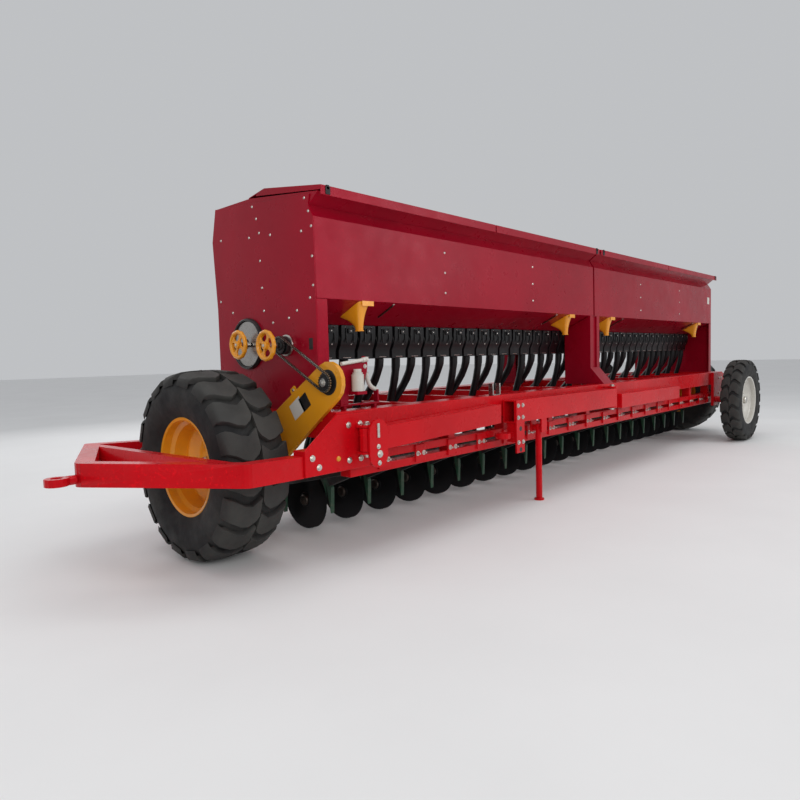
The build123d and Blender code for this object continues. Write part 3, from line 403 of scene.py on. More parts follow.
def front_rows():
    first = -ROW_PITCH * (OPENERS_PER_RANK - 1.5)
    return [first + 2 * ROW_PITCH * i for i in range(OPENERS_PER_RANK)]


def rear_rows():
    return [x - ROW_PITCH for x in front_rows()]


def ranks():
    """Each rank's name, its rows' places along X and its hubs' place along Y."""
    return ("front", front_rows(), FRONT_HUB_Y), ("rear", rear_rows(), FRONT_HUB_Y + RANK_STAGGER)


def meter_xs():
    return sorted(front_rows() + rear_rows())


# Wheels

# Along a tread bar, from the tyre's middle outwards: the share of the half width, the drop below the
# crown, how far the bar leans ahead in steps of the pattern, and the share of the bar's width
BAR_STATIONS = [(0.015, 0.0, 0.0, 0.86), (0.10, 0.0, 0.10, 1.0), (0.30, 0.001, 0.24, 1.0),
                (0.52, 0.003, 0.20, 1.0), (0.74, 0.008, 0.08, 1.0), (0.88, 0.018, 0.02, 1.0),
                (0.965, 0.034, 0.0, 0.93), (1.0, 0.060, 0.0, 0.93)]
BAR_SHARE, BAR_LEAN, BAR_CHAMFER, BAR_FLARE = 0.36, 1.1, 0.005, 0.06
SHOULDER_SHARE, SHOULDER_DEPTH = 0.95, 0.012
TREAD_SHARE, TREAD_SINK = 0.975, 0.0008

WORK_TYRE = [(0.131, 0.2505), (0.140, 0.2515), (0.149, 0.262), (0.154, 0.276), (0.160, 0.286),
             (0.168, 0.300), (0.1755, 0.322), (0.1805, 0.350), (0.182, 0.380), (0.1795, 0.408),
             (0.172, 0.432), (0.159, 0.450), (0.140, 0.462), (0.110, 0.469), (0.070, 0.4715), (0.030, 0.472)]
ROAD_TYRE = [(0.071, 0.2585), (0.078, 0.2595), (0.085, 0.268), (0.090, 0.280), (0.096, 0.300),
             (0.0985, 0.330), (0.0990, 0.362), (0.0965, 0.390), (0.0905, 0.412), (0.0800, 0.428),
             (0.0660, 0.4365), (0.0450, 0.4395), (0.0200, 0.4405)]


def tread_bar(shape, place, start, side, half, radius, depth, step):
    """One wide tread bar from near the tyre's middle out over its shoulder."""
    ring = []
    for across, drop, lean, share in BAR_STATIONS:
        x = side * half * across
        top = radius - TREAD_SINK - drop * depth / LUG_DEPTH
        base = top - (depth if across < SHOULDER_SHARE else SHOULDER_DEPTH)
        middle = start + lean * step * BAR_LEAN
        wide = step * BAR_SHARE * share
        foot, crest, edge = wide * (1 + BAR_FLARE), wide * (1 - BAR_FLARE), top - BAR_CHAMFER
        section = [(-foot, base), (-wide, edge), (-crest, top), (crest, top), (wide, edge), (foot, base)]
        ring.append([(x, r * math.cos(middle + a), r * math.sin(middle + a)) for a, r in section])
    verts = [v for section in ring for v in section]
    count = len(ring[0])
    faces = []
    for i in range(len(ring) - 1):
        for k in range(count - 1):
            quad = (i * count + k, i * count + k + 1, (i + 1) * count + k + 1, (i + 1) * count + k)
            faces.append(quad if side > 0 else quad[::-1])
    first, last = tuple(range(count)), tuple((len(ring) - 1) * count + k for k in range(count))
    faces.append(first[::-1] if side > 0 else first)
    faces.append(last if side > 0 else last[::-1])
    shape.take(verts, faces, place)


def chevron_tyre(name, node, body, place, side, radius, width, depth, bars):
    """A tyre turned from one side's (x, radius) profile, with two rows of slanted bars."""
    profile = [(-x, r) for x, r in side] + [(x, r) for x, r in reversed(side)]
    shape = Shape().lathe(profile, 120, place)
    step = 2 * math.pi / bars
    half = width / 2 * TREAD_SHARE
    for s in (-1, 1):
        for i in range(bars):
            tread_bar(shape, place, (i + (0.5 if s > 0 else 0.0)) * step, s, half, radius, depth, step)
    shape.piece(name, "tyre_rubber", body, angle=38, replaces=[node])


def wheel_rim(name, node, body, place, radius, width, dish, slot):
    """A pressed rim with its flange, bead seat, well, dished disc, hub and nuts; its open face is at -X."""
    half, thick, drop, nut_count, nut_circle = width / 2 * BEAD_SHARE, 0.006, 0.034, 8, 0.115
    edge = [(0.013, 0.002), (0.006, 0.012), (0.0, 0.0135), (-0.03, 0.0145), (-0.045, drop)]
    outer = [(-half - out, radius - low) for out, low in edge]
    outer += [(half + out, radius - low) for out, low in reversed(edge)]
    inner = [(x, r - thick) for x, r in reversed(outer)]
    inner = [(half + 0.016, radius - 0.005), (half + 0.012, radius - 0.018)] + inner[2:-2]
    inner += [(-half - 0.012, radius - 0.018), (-half - 0.016, radius - 0.005)]
    shape = Shape().lathe(outer + inner, 96, place)
    well = radius - drop - thick
    disc = [(dish - 0.052, well), (dish - 0.044, well - 0.010), (dish - 0.012, well - 0.036),
            (dish, well - 0.060), (dish, 0.088), (dish + 0.010, 0.080), (dish + 0.018, 0.080),
            (dish + 0.018, 0.055), (dish - 0.008, 0.055), (dish - 0.008, well - 0.063),
            (dish - 0.020, well - 0.040), (dish - 0.052, well - 0.014)]
    shape.lathe(disc, 96, place)
    hub = [(dish - 0.055, 0.036), (dish - 0.055, 0.070), (dish - 0.045, 0.075), (dish + 0.028, 0.075),
           (dish + 0.035, 0.068), (dish + 0.035, 0.036)]
    shape.lathe(hub, 48, place)
    shape.piece(name, slot, body, angle=40, replaces=[node])
    nuts = Shape()
    for angle in circle(nut_count):
        at = Vector((dish - 0.008, nut_circle * math.cos(angle), nut_circle * math.sin(angle)))
        nuts.bolt(place @ at, place.to_3x3() @ Vector((-1, 0, 0)), 0.013)
    cap = [(dish - 0.057, 0.040), (dish - 0.075, 0.040), (dish - 0.080, 0.034), (dish - 0.080, 0.020)]
    nuts.plug(cap, 32, place)
    nuts.piece(name + "_nuts", "chain_steel", body, angle=30, material=ZINC)


def make_wheels():
    for side, name in ((-1, "left"), (1, "right")):
        place = at_point(side * WHEEL_X, WHEEL_Y, TYRE_RADIUS, 0 if side < 0 else 180)
        chevron_tyre(f"traction_tyre_{name}", f"tyre_{name}", f"wheel_{name}", place, WORK_TYRE,
                     TYRE_RADIUS, TYRE_WIDTH, LUG_DEPTH, LUGS)
        wheel_rim(f"wheel_rim_{name}", f"rim_{name}", f"wheel_{name}", place, RIM_RADIUS, TYRE_WIDTH,
                  RIM_DISH, "rim_yellow")
    for y, name, turn in ((TRANSPORT_FRONT_Y, "front", 90), (TRANSPORT_REAR_Y, "rear", -90)):
        place = at_point(TRANSPORT_X, y, TRANSPORT_RADIUS, turn)
        chevron_tyre(f"road_tyre_{name}", f"transport_tyre_{name}", f"transport_{name}", place, ROAD_TYRE,
                     TRANSPORT_RADIUS, TRANSPORT_WIDTH, TRANSPORT_LUG_DEPTH, TRANSPORT_LUGS)
        wheel_rim(f"road_rim_{name}", f"transport_rim_{name}", f"transport_{name}", place, TRANSPORT_RIM,
                  TRANSPORT_WIDTH, TRANSPORT_DISH, "rim_white")


# Openers, tubes and meters


def make_discs():
    """Round discs with a ground edge, each with its bearing cap."""
    thick, edge, ground, eye = 0.002, 0.0004, 0.012, 0.030
    blade = [(-thick, eye), (-thick, DISC_RADIUS - ground), (-edge, DISC_RADIUS), (edge, DISC_RADIUS),
             (thick, DISC_RADIUS - ground), (thick, eye)]
    boss = [(-0.002, 0.045), (0.003, 0.045), (0.005, 0.043), (0.006, 0.030)]
    cap = [(0.005, 0.033), (0.013, 0.033), (0.019, 0.028), (0.021, 0.018)]
    for rank, rows, hub_y in ranks():
        blades, caps = Shape(), Shape()
        for x in rows:
            for side in (-1, 1):
                place = at_point(x + side * DISC_OFFSET, hub_y, HUB_Z, -side * DISC_ANGLE)
                place = place @ Matrix.Rotation(0 if side > 0 else math.pi, 4, "Y")
                blades.lathe(blade, 40, place)
                blades.plug(boss, 20, place)
                caps.plug(cap, 20, place)
                for turn in circle(4):
                    angle = math.pi / 4 + turn
                    at = place @ Vector((0.003, 0.038 * math.cos(angle), 0.038 * math.sin(angle)))
                    caps.dome(at, place.to_3x3() @ Vector((1, 0, 0)), 0.0045)
        blades.piece(f"disc_blades_{rank}", "disc_steel", angle=30, replaces=[f"discs_{rank}"])
        caps.piece(f"disc_caps_{rank}", "chain_steel", angle=30, material=DARK_STEEL)


def make_tubes():
    """Ribbed seed tubes from each meter down into its boot."""
    count, radius, rib, mouth, spout = 15, 0.0255, 0.0012, 0.029, 0.022
    radii = [radius + rib * (i % 2) for i in range(count)]
    radii[0] = radii[1] = mouth
    radii[-1] = spout
    rows = sorted((x, hub_y, rank) for rank, xs, hub_y in ranks() for x in xs)
    shapes = {"front": Shape(), "rear": Shape()}
    for meter_x, (x, hub_y, rank) in zip(meter_xs(), rows):
        top = spot(meter_x, SEED_Y, TROUGH_Z - METER_HEIGHT)
        foot = spot(x, hub_y - BOOT_AHEAD, HUB_Z + BOOT_TOP)
        path = []
        for i in range(count):
            t = i / (count - 1)
            bend = t * t * (3 - 2 * t)
            path.append([a + (b - a) * share for a, b, share in zip(top, foot, (bend, bend, t))])
        shapes[rank].tube(path, radii, 14)
    for rank, shape in shapes.items():
        shape.piece(f"grain_tubes_{rank}", "black_plastic", angle=50, replaces=[f"seed_tubes_{rank}"])


def meter_body(y):
    """One metering unit: a moulded housing with its roller bulge, spout, ribs and slide."""
    half = METER_WIDTH / 2 - 0.001
    top, back, front = TROUGH_Z, y + METER_DEPTH / 2, y - METER_DEPTH / 2
    spout = top - METER_HEIGHT
    shape = Shape()
    outline = [(front, top), (front, top - 0.075), (front + 0.014, top - 0.118), (y - 0.030, top - 0.150),
               (y - 0.028, spout), (y + 0.028, spout), (y + 0.030, top - 0.150),
               (back - 0.010, top - 0.115), (back, top - 0.070), (back, top)]
    shape.plate(outline, 2 * half, moved(-half))
    shape.plug([(-half - 0.004, 0.036), (half + 0.004, 0.036)], 24, moved(0, y - 0.012, top - 0.082))
    for x in (-half * 0.45, half * 0.45):
        shape.block((x - 0.004, front - 0.006, top - 0.105), (x + 0.004, front, top - 0.012))
    shape.block((-half * 0.3, front - 0.012, top - 0.048), (half * 0.3, front, top - 0.020))
    return shape


# A meter's screws: place from the middle of its upper front edge, the way each faces, and its radius
METER_SCREWS = (((-0.03, 0, -0.014), AHEAD, 0.004), ((0.03, 0, -0.014), AHEAD, 0.004),
                ((0, -0.012, -0.034), AHEAD, 0.005), ((0.02, 0.012, -0.112), (0, -1, -0.3), 0.0045))


def make_meters():
    for node, y, name in (("meters_seed", SEED_Y, "seed_meters"),
                          ("meters_fertiliser", FERT_Y, "fertiliser_meters")):
        one = meter_body(y)
        shape, marks = Shape(), Shape()
        for x in meter_xs():
            shape.copy(one, Matrix.Translation(spot(x, 0, 0)))
            for (dx, dy, dz), way, radius in METER_SCREWS:
                marks.dome(spot(x + dx, y - METER_DEPTH / 2 + dy, TROUGH_Z + dz), way, radius)
            clip_z = TROUGH_Z - METER_HEIGHT + 0.010
            marks.tube([spot(x - 0.03, y - 0.030, clip_z), spot(x + 0.03, y - 0.030, clip_z)], 0.0022, 8)
        shape.piece(name, "black_plastic", bevel=0.002, angle=30, segments=1, replaces=[node])
        marks.piece(name + "_screws", "chain_steel", material=ZINC)


# Drive at the left end


def chain_route(steps=24):
    """The chain's outline round the two sprockets, in the (y, z) plane."""
    (ay, az), (by, bz), radius = COVER_TOP, PULLEY_HIGH, PULLEY_RADIUS + CHAIN_RISE
    run = math.atan2(bz - az, by - ay)
    outline = []
    for middle, start in (((ay, az), run + math.pi / 2), ((by, bz), run - math.pi / 2)):
        for i in range(steps + 1):
            angle = start + math.pi * i / steps
            outline.append((middle[0] + radius * math.cos(angle), middle[1] + radius * math.sin(angle)))
    return outline


def along(outline, count):
    """Evenly spaced points on a closed outline, and the pitch between them."""
    closed = outline + outline[:1]
    lengths = [math.dist(a, b) for a, b in zip(closed, closed[1:])]
    pitch = sum(lengths) / count
    places, want, passed = [], 0.0, 0.0
    for (a, b), length in zip(zip(closed, closed[1:]), lengths):
        while length and want <= passed + length and len(places) < count:
            t = (want - passed) / length
            places.append((a[0] + (b[0] - a[0]) * t, a[1] + (b[1] - a[1]) * t))
            want += pitch
        passed += length
    return places, pitch


def link_plate(pitch, height, waist):
    """A chain link's plate: two round ends with a narrower waist."""
    ends = []
    for middle, start in ((pitch / 2, -math.pi / 2), (-pitch / 2, math.pi / 2)):
        for i in range(5):
            angle = start + math.pi * i / 4
            ends.append((middle + height / 2 * math.cos(angle), height / 2 * math.sin(angle)))
        ends.append((0.0, waist / 2 if start < 0 else -waist / 2))
    return ends


def make_chain():
    """A roller chain: rollers, and inner and outer plates by turns."""
    inner, outer = 0.0044, 0.0062
    places, pitch = along(chain_route(), CHAIN_LINKS)
    plates, rollers = Shape(), Shape()
    plate = link_plate(pitch, LINK_HEIGHT, LINK_WAIST)
    roller = [(-0.0078, 0.0022), (-0.0040, 0.0022), (-0.0038, 0.0040), (0.0038, 0.0040), (0.0040, 0.0022),
              (0.0078, 0.0022)]
    for i, (y, z) in enumerate(places):
        next_y, next_z = places[(i + 1) % len(places)]
        middle = spot(CHAIN_X, (y + next_y) / 2, (z + next_z) / 2)
        place = Matrix.Translation(middle) @ Matrix.Rotation(math.atan2(next_z - z, next_y - y), 4, "X")
        for side in (-1, 1):
            apart = side * (outer if i % 2 else inner)
            plates.plate(plate, LINK_THICK, place @ moved(apart - LINK_THICK / 2))
        rollers.plug(roller, 8, at_point(CHAIN_X, y, z))
    plates.piece("chain_plates", "chain_steel", replaces=["drive_chain"], material=DARK_STEEL)
    rollers.piece("chain_rollers", "chain_steel", material=ZINC)


def toothed(shape, root, tip, half, place):
    """A sprocket's toothed rim as one plate."""
    outline = []
    for i in range(SPROCKET_TEETH):
        for share, radius in ((-0.30, root), (-0.12, tip), (0.12, tip), (0.30, root)):
            angle = 2 * math.pi * (i + share) / SPROCKET_TEETH
            outline.append((radius * math.cos(angle), radius * math.sin(angle)))
    shape.plate(outline, 2 * half, place @ moved(-half))


def make_sprockets():
    """Both sprockets, the lower one's shaft and nut, and the upper one's drum and flange."""
    black, bright = Shape(), Shape()
    for y, z in (COVER_TOP, PULLEY_HIGH):
        place = at_point(CHAIN_X, y, z)
        toothed(black, PULLEY_RADIUS, PULLEY_RADIUS + 0.006, 0.0028, place)
        black.plug([(-0.010, 0.024), (-0.004, 0.027), (0.010, 0.027)], 32, place)
    place = at_point(CHAIN_X, *COVER_TOP)
    black.plug([(0.010, 0.018), (0.0235, 0.018)], 24, place)
    bright.plug([(-0.0125, 0.021), (-0.010, 0.021)], 32, place)
    bright.plug([(-0.0215, 0.0115), (-0.0205, 0.0125), (-0.0125, 0.0125)], 6, place)
    bright.plug([(-0.0225, 0.0060), (-0.0215, 0.0070), (-0.0200, 0.0070)], 20, place)
    place = at_point(-HOPPER_HALF, *PULLEY_HIGH)
    black.plug([(-0.042, 0.030), (-0.040, 0.048), (-0.018, 0.050), (-0.014, 0.050)], 48, place)
    bright.plug([(-0.014, 0.052), (-0.012, 0.058), (-0.003, 0.058), (0.0, 0.056)], 48, place)
    black.plug([(-0.076, 0.016), (-0.040, 0.016)], 24, place)
    black.piece("sprockets", "black_paint", bevel=0.0008, angle=30, segments=1,
                replaces=["drive_sprockets"])
    bright.piece("sprocket_nut_and_flange", "chain_steel", bevel=0.0006, angle=30, segments=1, material=ZINC)


def hand_wheel(shape, place):
    """A cast hand wheel: a lobed rim, a dished web with four windows and a boss."""
    rim = [(0.010, 0.058), (-0.004, 0.060), (-0.011, 0.066), (-0.012, 0.074), (-0.006, None),
           (0.006, None), (0.011, 0.074), (0.012, 0.066)]
    rings = []
    for angle in circle(96):
        lobe = HAND_WHEEL_OUT + LOBE_RISE * math.cos(LOBES * angle)
        ring = [(x, r or lobe) for x, r in rim]
        rings.append([(x, r * math.cos(angle), r * math.sin(angle)) for x, r in ring])
    shape.skin(rings, place)
    steps, boss, reach, spokes = 10, 0.014, 0.048, 4
    spoke = []
    for k in range(steps + 1):
        share = k / steps
        out = boss + reach * share
        wide = 0.0085 + 0.0200 * abs(2 * share - 0.9) ** 2.6
        spoke.append((out, min(wide, out * 0.70)))
    outline = spoke + [(out, -wide) for out, wide in reversed(spoke)]
    for angle in circle(spokes):
        turn = place @ Matrix.Rotation(angle + 0.5, 4, "X")
        shape.plate(outline, 0.009, turn @ moved(-0.004))
    shape.plug([(-0.016, 0.014), (-0.014, 0.021), (0.012, 0.021)], 32, place)


def make_hand_wheels():
    """Both hand wheels on their shafts, the first from the sprocket's shaft and the second from the end."""
    wheels, ends = Shape(), Shape()
    for y, z, x in HAND_WHEELS:
        place = at_point(-x, y, z)
        hand_wheel(wheels, place)
        ends.plug([(-0.0118, 0.006), (-0.0115, 0.008), (0.0, 0.008)], 20, place @ moved(-0.006))
    for (y, z, x), stub in zip(HAND_WHEELS, (0.076, 0.024)):
        ends.plug([(-x, SHAFT_RADIUS), (-HOPPER_HALF - stub, SHAFT_RADIUS)], 24, at_point(0, y, z))
    wheels.piece("lobed_hand_wheels", "rim_yellow", bevel=0.0015, angle=30, replaces=["hand_wheels"])
    ends.piece("hand_wheel_shafts", "chain_steel", bevel=0.0005, angle=30, segments=1, material=ZINC)


def make_gear_cover():
    """The gear's polished dish inside its dark ring."""
    place = at_point(-HOPPER_HALF, *GEAR_COVER)
    dish = Shape()
    dish.plug([(-0.020, 0.020), (-0.0185, 0.045), (-0.0155, 0.090), (-0.012, 0.128), (-0.012, 0.132)], 96,
              place)
    dish.piece("gear_dish", "panel_grey", angle=30, replaces=["gear_cover"])
    ring = Shape()
    ring.lathe([(0.0, 0.130), (-0.012, 0.130), (-0.021, 0.134), (-0.024, 0.139), (-0.021, 0.144),
                (-0.010, 0.148), (0.0, 0.148)], 96, place)
    ring.plug([(-0.024, 0.016), (-0.0235, 0.024), (-0.019, 0.030), (-0.016, 0.030)], 32, place)
    ring.piece("gear_ring", "black_paint")


def make_cover_details():
    """A flat black disc painted as the shade in the chain cover's recess, its bolt tab and two blank label
    plates.
    """
    (top_y, top_z), (low_y, low_z) = COVER_TOP, COVER_LOW
    lean = math.atan2(low_z - top_z, low_y - top_y)
    # Painted shade: a thin black disc on the cover's face stands for the shade inside the recess
    recess = Shape().plug([(-0.0008, 0.064), (-0.0006, 0.0645), (0.0, 0.065)], 64,
                          at_point(COVER_FACE_X, *COVER_TOP))
    recess.piece("cover_recess_shade", "black_paint")

    def on_cover(y, z):
        return at_point(COVER_FACE_X, y, z) @ Matrix.Rotation(lean, 4, "X")

    middle = on_cover(0.208, 0.878)
    half, foot, shoulder, corner, top = 0.026, -0.030, 0.008, 0.018, 0.017
    tab = Shape().plate([(-half, foot), (-half, shoulder), (-corner, top), (corner, top), (half, shoulder),
                         (half, foot)], 0.004, middle @ moved(0.001))
    tab.piece("cover_tab", "cover_amber", bevel=0.0008, angle=30, segments=1)
    bolt = Shape().bolt(middle @ Vector((0.001, 0, 0)), (-1, 0, 0), 0.006)
    bolt.piece("cover_tab_bolt", "chain_steel", material=ZINC)
    thick = 0.0009
    for name, y, z, w, h, slot in (("cover_label_pale", 0.178, 0.783, 0.052, 0.044, "rim_white"),
                                   ("cover_label_black", 0.112, 0.818, 0.036, 0.040, "black_paint")):
        plate = Shape().plate([(-w, -h), (-w, h), (w, h), (w, -h)], thick, on_cover(y, z) @ moved(-thick))
        plate.piece(name, slot, bevel=0.0003, angle=30, segments=1)


# Frame details

# Places of the rivets on an end panel, and of those along the front and the back
END_RIVETS = [(0.095, 1.865), (0.562, 1.903), (0.066, 1.794), (0.527, 1.831), (0.047, 1.716), (0.129, 1.703),
              (0.504, 1.750), (0.401, 1.724), (0.604, 1.737), (0.900, 1.763), (0.047, 1.565), (0.505, 1.596),
              (0.047, 1.418), (0.496, 1.446), (0.075, 1.357), (0.930, 1.402), (0.187, 1.299), (0.486, 1.317),
              (0.803, 1.327), (0.259, 1.264), (0.405, 1.246)]
PARTITION_X, PARTITION_Z = (-2.02, -0.985, 0.985, 2.02), (1.435, 1.56, 1.685)


def make_rivets():
    """Rivets over the end panels and down the front and back where the partitions are fixed, and black blocks
    painted as the shade in the end panels' slots.
    """
    rivets = Shape()
    for side in (-1, 1):
        for y, z in END_RIVETS:
            rivets.dome(spot(side * HOPPER_HALF, y, z), (side, 0, 0), 0.0075)
    slope = (BEND_Y - HOPPER_FRONT_Y) / (BEND_Z - PANEL_BOTTOM_Z)
    for x in PARTITION_X:
        for z in PARTITION_Z:
            rise = z - PANEL_BOTTOM_Z
            rivets.dome(spot(x, HOPPER_FRONT_Y + slope * rise, z), AHEAD, 0.008)
            rivets.dome(spot(x, HOPPER_BACK_Y + BACK_LEAN * rise, z), (0, 1, 0.07), 0.008)
    rivets.piece("panel_rivets", "chain_steel", material=ZINC)
    # Painted shade: thin black blocks through each end panel stand for the shade inside its slot
    slots, skin = Shape(), 0.0006
    for end in (-HOPPER_HALF, HOPPER_HALF):
        slots.block((end - skin, 0.064, 1.09), (end + skin, 0.096, 1.150), Matrix.Translation(SHIFT))
    slots.piece("panel_slot_shades", "black_paint", bevel=0.0004, angle=30, segments=1)


def make_tab_bolts():
    """U-bolts that clamp each opener's tab to the rail: two nuts and two stud ends on every tab."""
    half, stud = 0.026, Vector((0, -0.021, 0))
    nuts = Shape()
    for x in front_rows()[:-1]:
        for dx in (-half, half):
            at = spot(x + TAB_OFFSET + dx, RAIL_Y - TAB_THICK, TAB_BOLT_Z)
            nuts.bolt(at, AHEAD, 0.010)
            nuts.tube([at, at + stud], 0.0052, 12)
    nuts.piece("tab_u_bolts", "chain_steel", material=ZINC)


def make_gusset_bolts():
    """Bolts, an amber plug and the folded upper edges on the two gussets."""
    bolts, folds = Shape(), Shape()
    for side in (-1, 1):
        for x, z in ((2.92, 0.70), (3.00, 0.70), (2.92, 0.52), (3.00, 0.52), (3.20, 0.51), (3.24, 0.56)):
            bolts.bolt(spot(side * x, GUSSET_FACE_Y, z), AHEAD, 0.011)
        edge_y = BAR_FRONT_Y - 0.006
        folds.tube([spot(side * 3.075, edge_y, 0.754), spot(side * 3.281, edge_y, 0.594)], 0.007, 12)
    bolts.piece("gusset_bolts", "chain_steel", material=ZINC)
    Shape().dome(spot(-3.073, GUSSET_FACE_Y, 0.537), AHEAD, 0.014).piece("gusset_plug", "cover_amber")
    folds.piece("gusset_edges", "frame_paint")


def make_drawbar_details():
    """Pins and bolts of the folded drawbar, and black discs painted as the shade in its hitch plate's holes.
    """
    pin_x, pin_y = -2.893, -0.219
    stay = Shape().tube([spot(pin_x, pin_y, 0.632), spot(pin_x, pin_y, 0.705)], 0.0085, 20)
    for x, z, size in ((-2.884, 0.546, 0.013), (-2.888, 0.500, 0.009), (pin_x, 0.585, 0.009)):
        stay.bolt(spot(x, DRAWBAR_FACE_Y, z), AHEAD, size)
    stay.piece("stay_plate_pins", "chain_steel", "stay", bevel=0.0006, angle=30, segments=1, material=ZINC)
    bolts, hole_shades = Shape(), Shape()
    for z in (0.70, 0.62, 0.455):
        for x in (-1.590, -1.535):
            bolts.bolt(spot(x, DRAWBAR_FACE_Y, z), AHEAD, 0.010)
    bolts.piece("hitch_plate_bolts", "chain_steel", "pole", material=ZINC)
    # Painted shade: thin black discs on the hitch plate stand for the shade inside its holes
    for z in (0.405, 0.545):
        hole_shades.plug([(0.0, 0.016), (0.0006, 0.016)], 32, at_point(-1.5625, DRAWBAR_FACE_Y, z, -90))
    hole_shades.piece("hitch_plate_hole_shades", "black_paint", "pole")
    pins = Shape()
    for x, low, high in ((-2.915, 0.545, 0.697), (-0.060, 0.569, 0.751)):
        for z, up in ((low, -1), (high, 1)):
            place = at_point(x, -0.1575, z) @ Matrix.Rotation(-up * math.pi / 2, 4, "Y")
            pins.plug([(0.0, 0.026), (0.004, 0.026), (0.005, 0.024)], 32, place)
            pins.plug([(0.004, 0.017), (0.015, 0.017), (0.017, 0.014)], 6 if up > 0 else 24, place)
    pins.piece("hinge_pin_heads", "chain_steel", bevel=0.0005, angle=30, segments=1, material=ZINC)


def make_lid_details():
    """A latch on each lid's front lip, and knuckles with screws along the hinge line."""
    per_lid, latch_in, knuckle_half, knuckle = 5, 0.045, 0.040, 0.0055
    knuckle_y, knuckle_z = LID_HINGE_Y + 0.012, TOP_BACK_Z + knuckle
    knuckles = Shape()
    for number, (x0, x1) in enumerate(LID_SPANS, 1):
        latch, screws = Shape(), Shape()
        at = at_point(x0 + latch_in if number % 2 else x1 - latch_in, LID_FRONT_Y, LID_FRONT_Z)
        latch.block((-0.016, -0.0035, -0.044), (0.016, 0.0, -0.004), at)
        latch.block((-0.009, -0.0035, -0.020), (0.009, 0.010, 0.0035), at)
        latch.piece(f"lid_latches_{number}", "black_plastic", f"lid_{number}", bevel=0.0015)
        for i in range(per_lid):
            x = x0 + (x1 - x0) * (i + 0.5) / per_lid
            ends = [spot(x + dx, knuckle_y, knuckle_z) for dx in (-knuckle_half, knuckle_half)]
            knuckles.tube(ends, knuckle)
            for dx in (-0.025, 0.025):
                screws.dome(spot(x + dx, LID_HINGE_Y - 0.026, TOP_BACK_Z + 0.0075), (0, 0.05, 1), 0.005)
        screws.piece(f"lid_screws_{number}", "black_paint", f"lid_{number}")
    knuckles.piece("hinge_knuckles", "black_paint")


def front_floor(y):
    """The height of the underside of the hopper's front floor."""
    foot_y = SEED_Y - 0.055
    return PANEL_BOTTOM_Z + (TROUGH_Z - PANEL_BOTTOM_Z) * (y - HOPPER_FRONT_Y) / (foot_y - HOPPER_FRONT_Y)


def make_blank_label():
    half, thick, width = 0.04, 0.0012, 0.07
    label = Shape().plate([(0.0, -half), (0.0, half), (thick, half), (thick, -half)], width,
                          at_point(2.93, HOPPER_FRONT_Y, 1.62))
    label.piece("blank_label", "rim_white", bevel=0.0003, angle=30, segments=1)


def make_slide_rods():
    """The rods and knobs of the slides, under the front floor."""
    rods, knobs = Shape(), Shape()
    back, front, knob, under = 0.175, 0.052, 0.046, 0.005
    for x in (-2.48, -0.61, 0.61, 2.48):
        rods.tube([spot(x, y, front_floor(y) - under) for y in (back, front)], 0.0045, 12)
        knobs.dome(spot(x, knob, front_floor(knob) - 0.002), (0, -0.4, -0.9), 0.009)
    rods.piece("slide_rods", "chain_steel", material=DARK_STEEL)
    knobs.piece("slide_rod_knobs", "chain_steel", material=ZINC)


def make_bar_clamp():
    """A clamp on the bar: a foot and two cheeks."""
    left, right, front, back, thick = -1.700, -1.610, -0.095, -0.060, 0.012
    foot_top, cheek_top = BAR_TOP_Z + 0.006, BAR_TOP_Z + 0.08
    clamp = Shape()
    for x0, x1, top in ((left, right, foot_top), (left, left + thick, cheek_top),
                        (right - thick, right, cheek_top)):
        clamp.block((x0, front, BAR_TOP_Z), (x1, back, top), Matrix.Translation(SHIFT))
    clamp.piece("bar_clamp", "panel_grey", bevel=0.002)


# The lift crank's outline in (x, z), its bracket's blocks, and the pipe beside the cylinder
CRANK = [(-2.985, 0.800), (-2.985, 1.000), (-2.835, 1.018), (-2.822, 1.042), (-2.812, 1.050), (-2.800, 1.048),
         (-2.789, 1.032), (-2.786, 1.010), (-2.792, 0.964), (-2.818, 0.910), (-2.850, 0.864), (-2.895, 0.846),
         (-2.930, 0.846), (-2.930, 0.800)]
LIFT_BLOCKS = (((-2.985, -0.042, 0.790), (-2.700, -0.004, 0.800)),
               ((-2.712, -0.036, 0.800), (-2.700, -0.004, 0.866)),
               ((-2.960, -0.040, 0.770), (-2.944, -0.008, 0.790)),
               ((-2.740, -0.040, 0.770), (-2.724, -0.008, 0.790)),
               ((-2.926, -0.108, 0.850), (-2.858, -0.042, 0.867)))
LIFT_CYLINDER = ((0.867, 0.955, 0.033), (0.955, 0.965, 0.027), (0.965, 0.983, 0.021))
LIFT_PIPE = ((-2.775, 0.962), (-2.768, 0.930), (-2.754, 0.897), (-2.731, 0.876), (-2.706, 0.868))


def make_lift():
    """The lift crank on its bracket at the bar's left end, with the cylinder, its rod and a pipe."""
    face = Matrix.Translation(SHIFT + Vector((0, -0.030, 0))) @ Matrix.Rotation(-math.pi / 2, 4, "Z")
    crank = Shape().plate(CRANK, 0.012, face)
    for low, high in LIFT_BLOCKS:
        crank.block(low, high, Matrix.Translation(SHIFT))
    crank.piece("lift_bracket", "hopper_paint", bevel=0.0015)
    body, rod = Shape(), Shape()
    x, y = -2.892, -0.075
    for low, high, radius in LIFT_CYLINDER:
        body.tube([spot(x, y, low), spot(x, y, high)], radius, 32)
    body.tube(smooth_path([spot(x, -0.018, z) for x, z in LIFT_PIPE], 6), 0.012, 20)
    rod_y = -0.054
    rod.tube([spot(-2.985, rod_y, 1.012), spot(-2.825, rod_y, 1.030)], 0.010, 20)
    rod.tube([spot(-2.835, rod_y, 1.029), spot(-2.800, rod_y, 1.033)], 0.0135, 20)
    rod.bolt(spot(-2.806, -0.042, 0.995), AHEAD, 0.008)
    rod.bolt(spot(-2.815, -0.066, 1.031), AHEAD, 0.006)
    body.piece("lift_cylinder", "rim_white", bevel=0.0008)
    rod.piece("lift_cylinder_rod", "rim_white", bevel=0.0005)


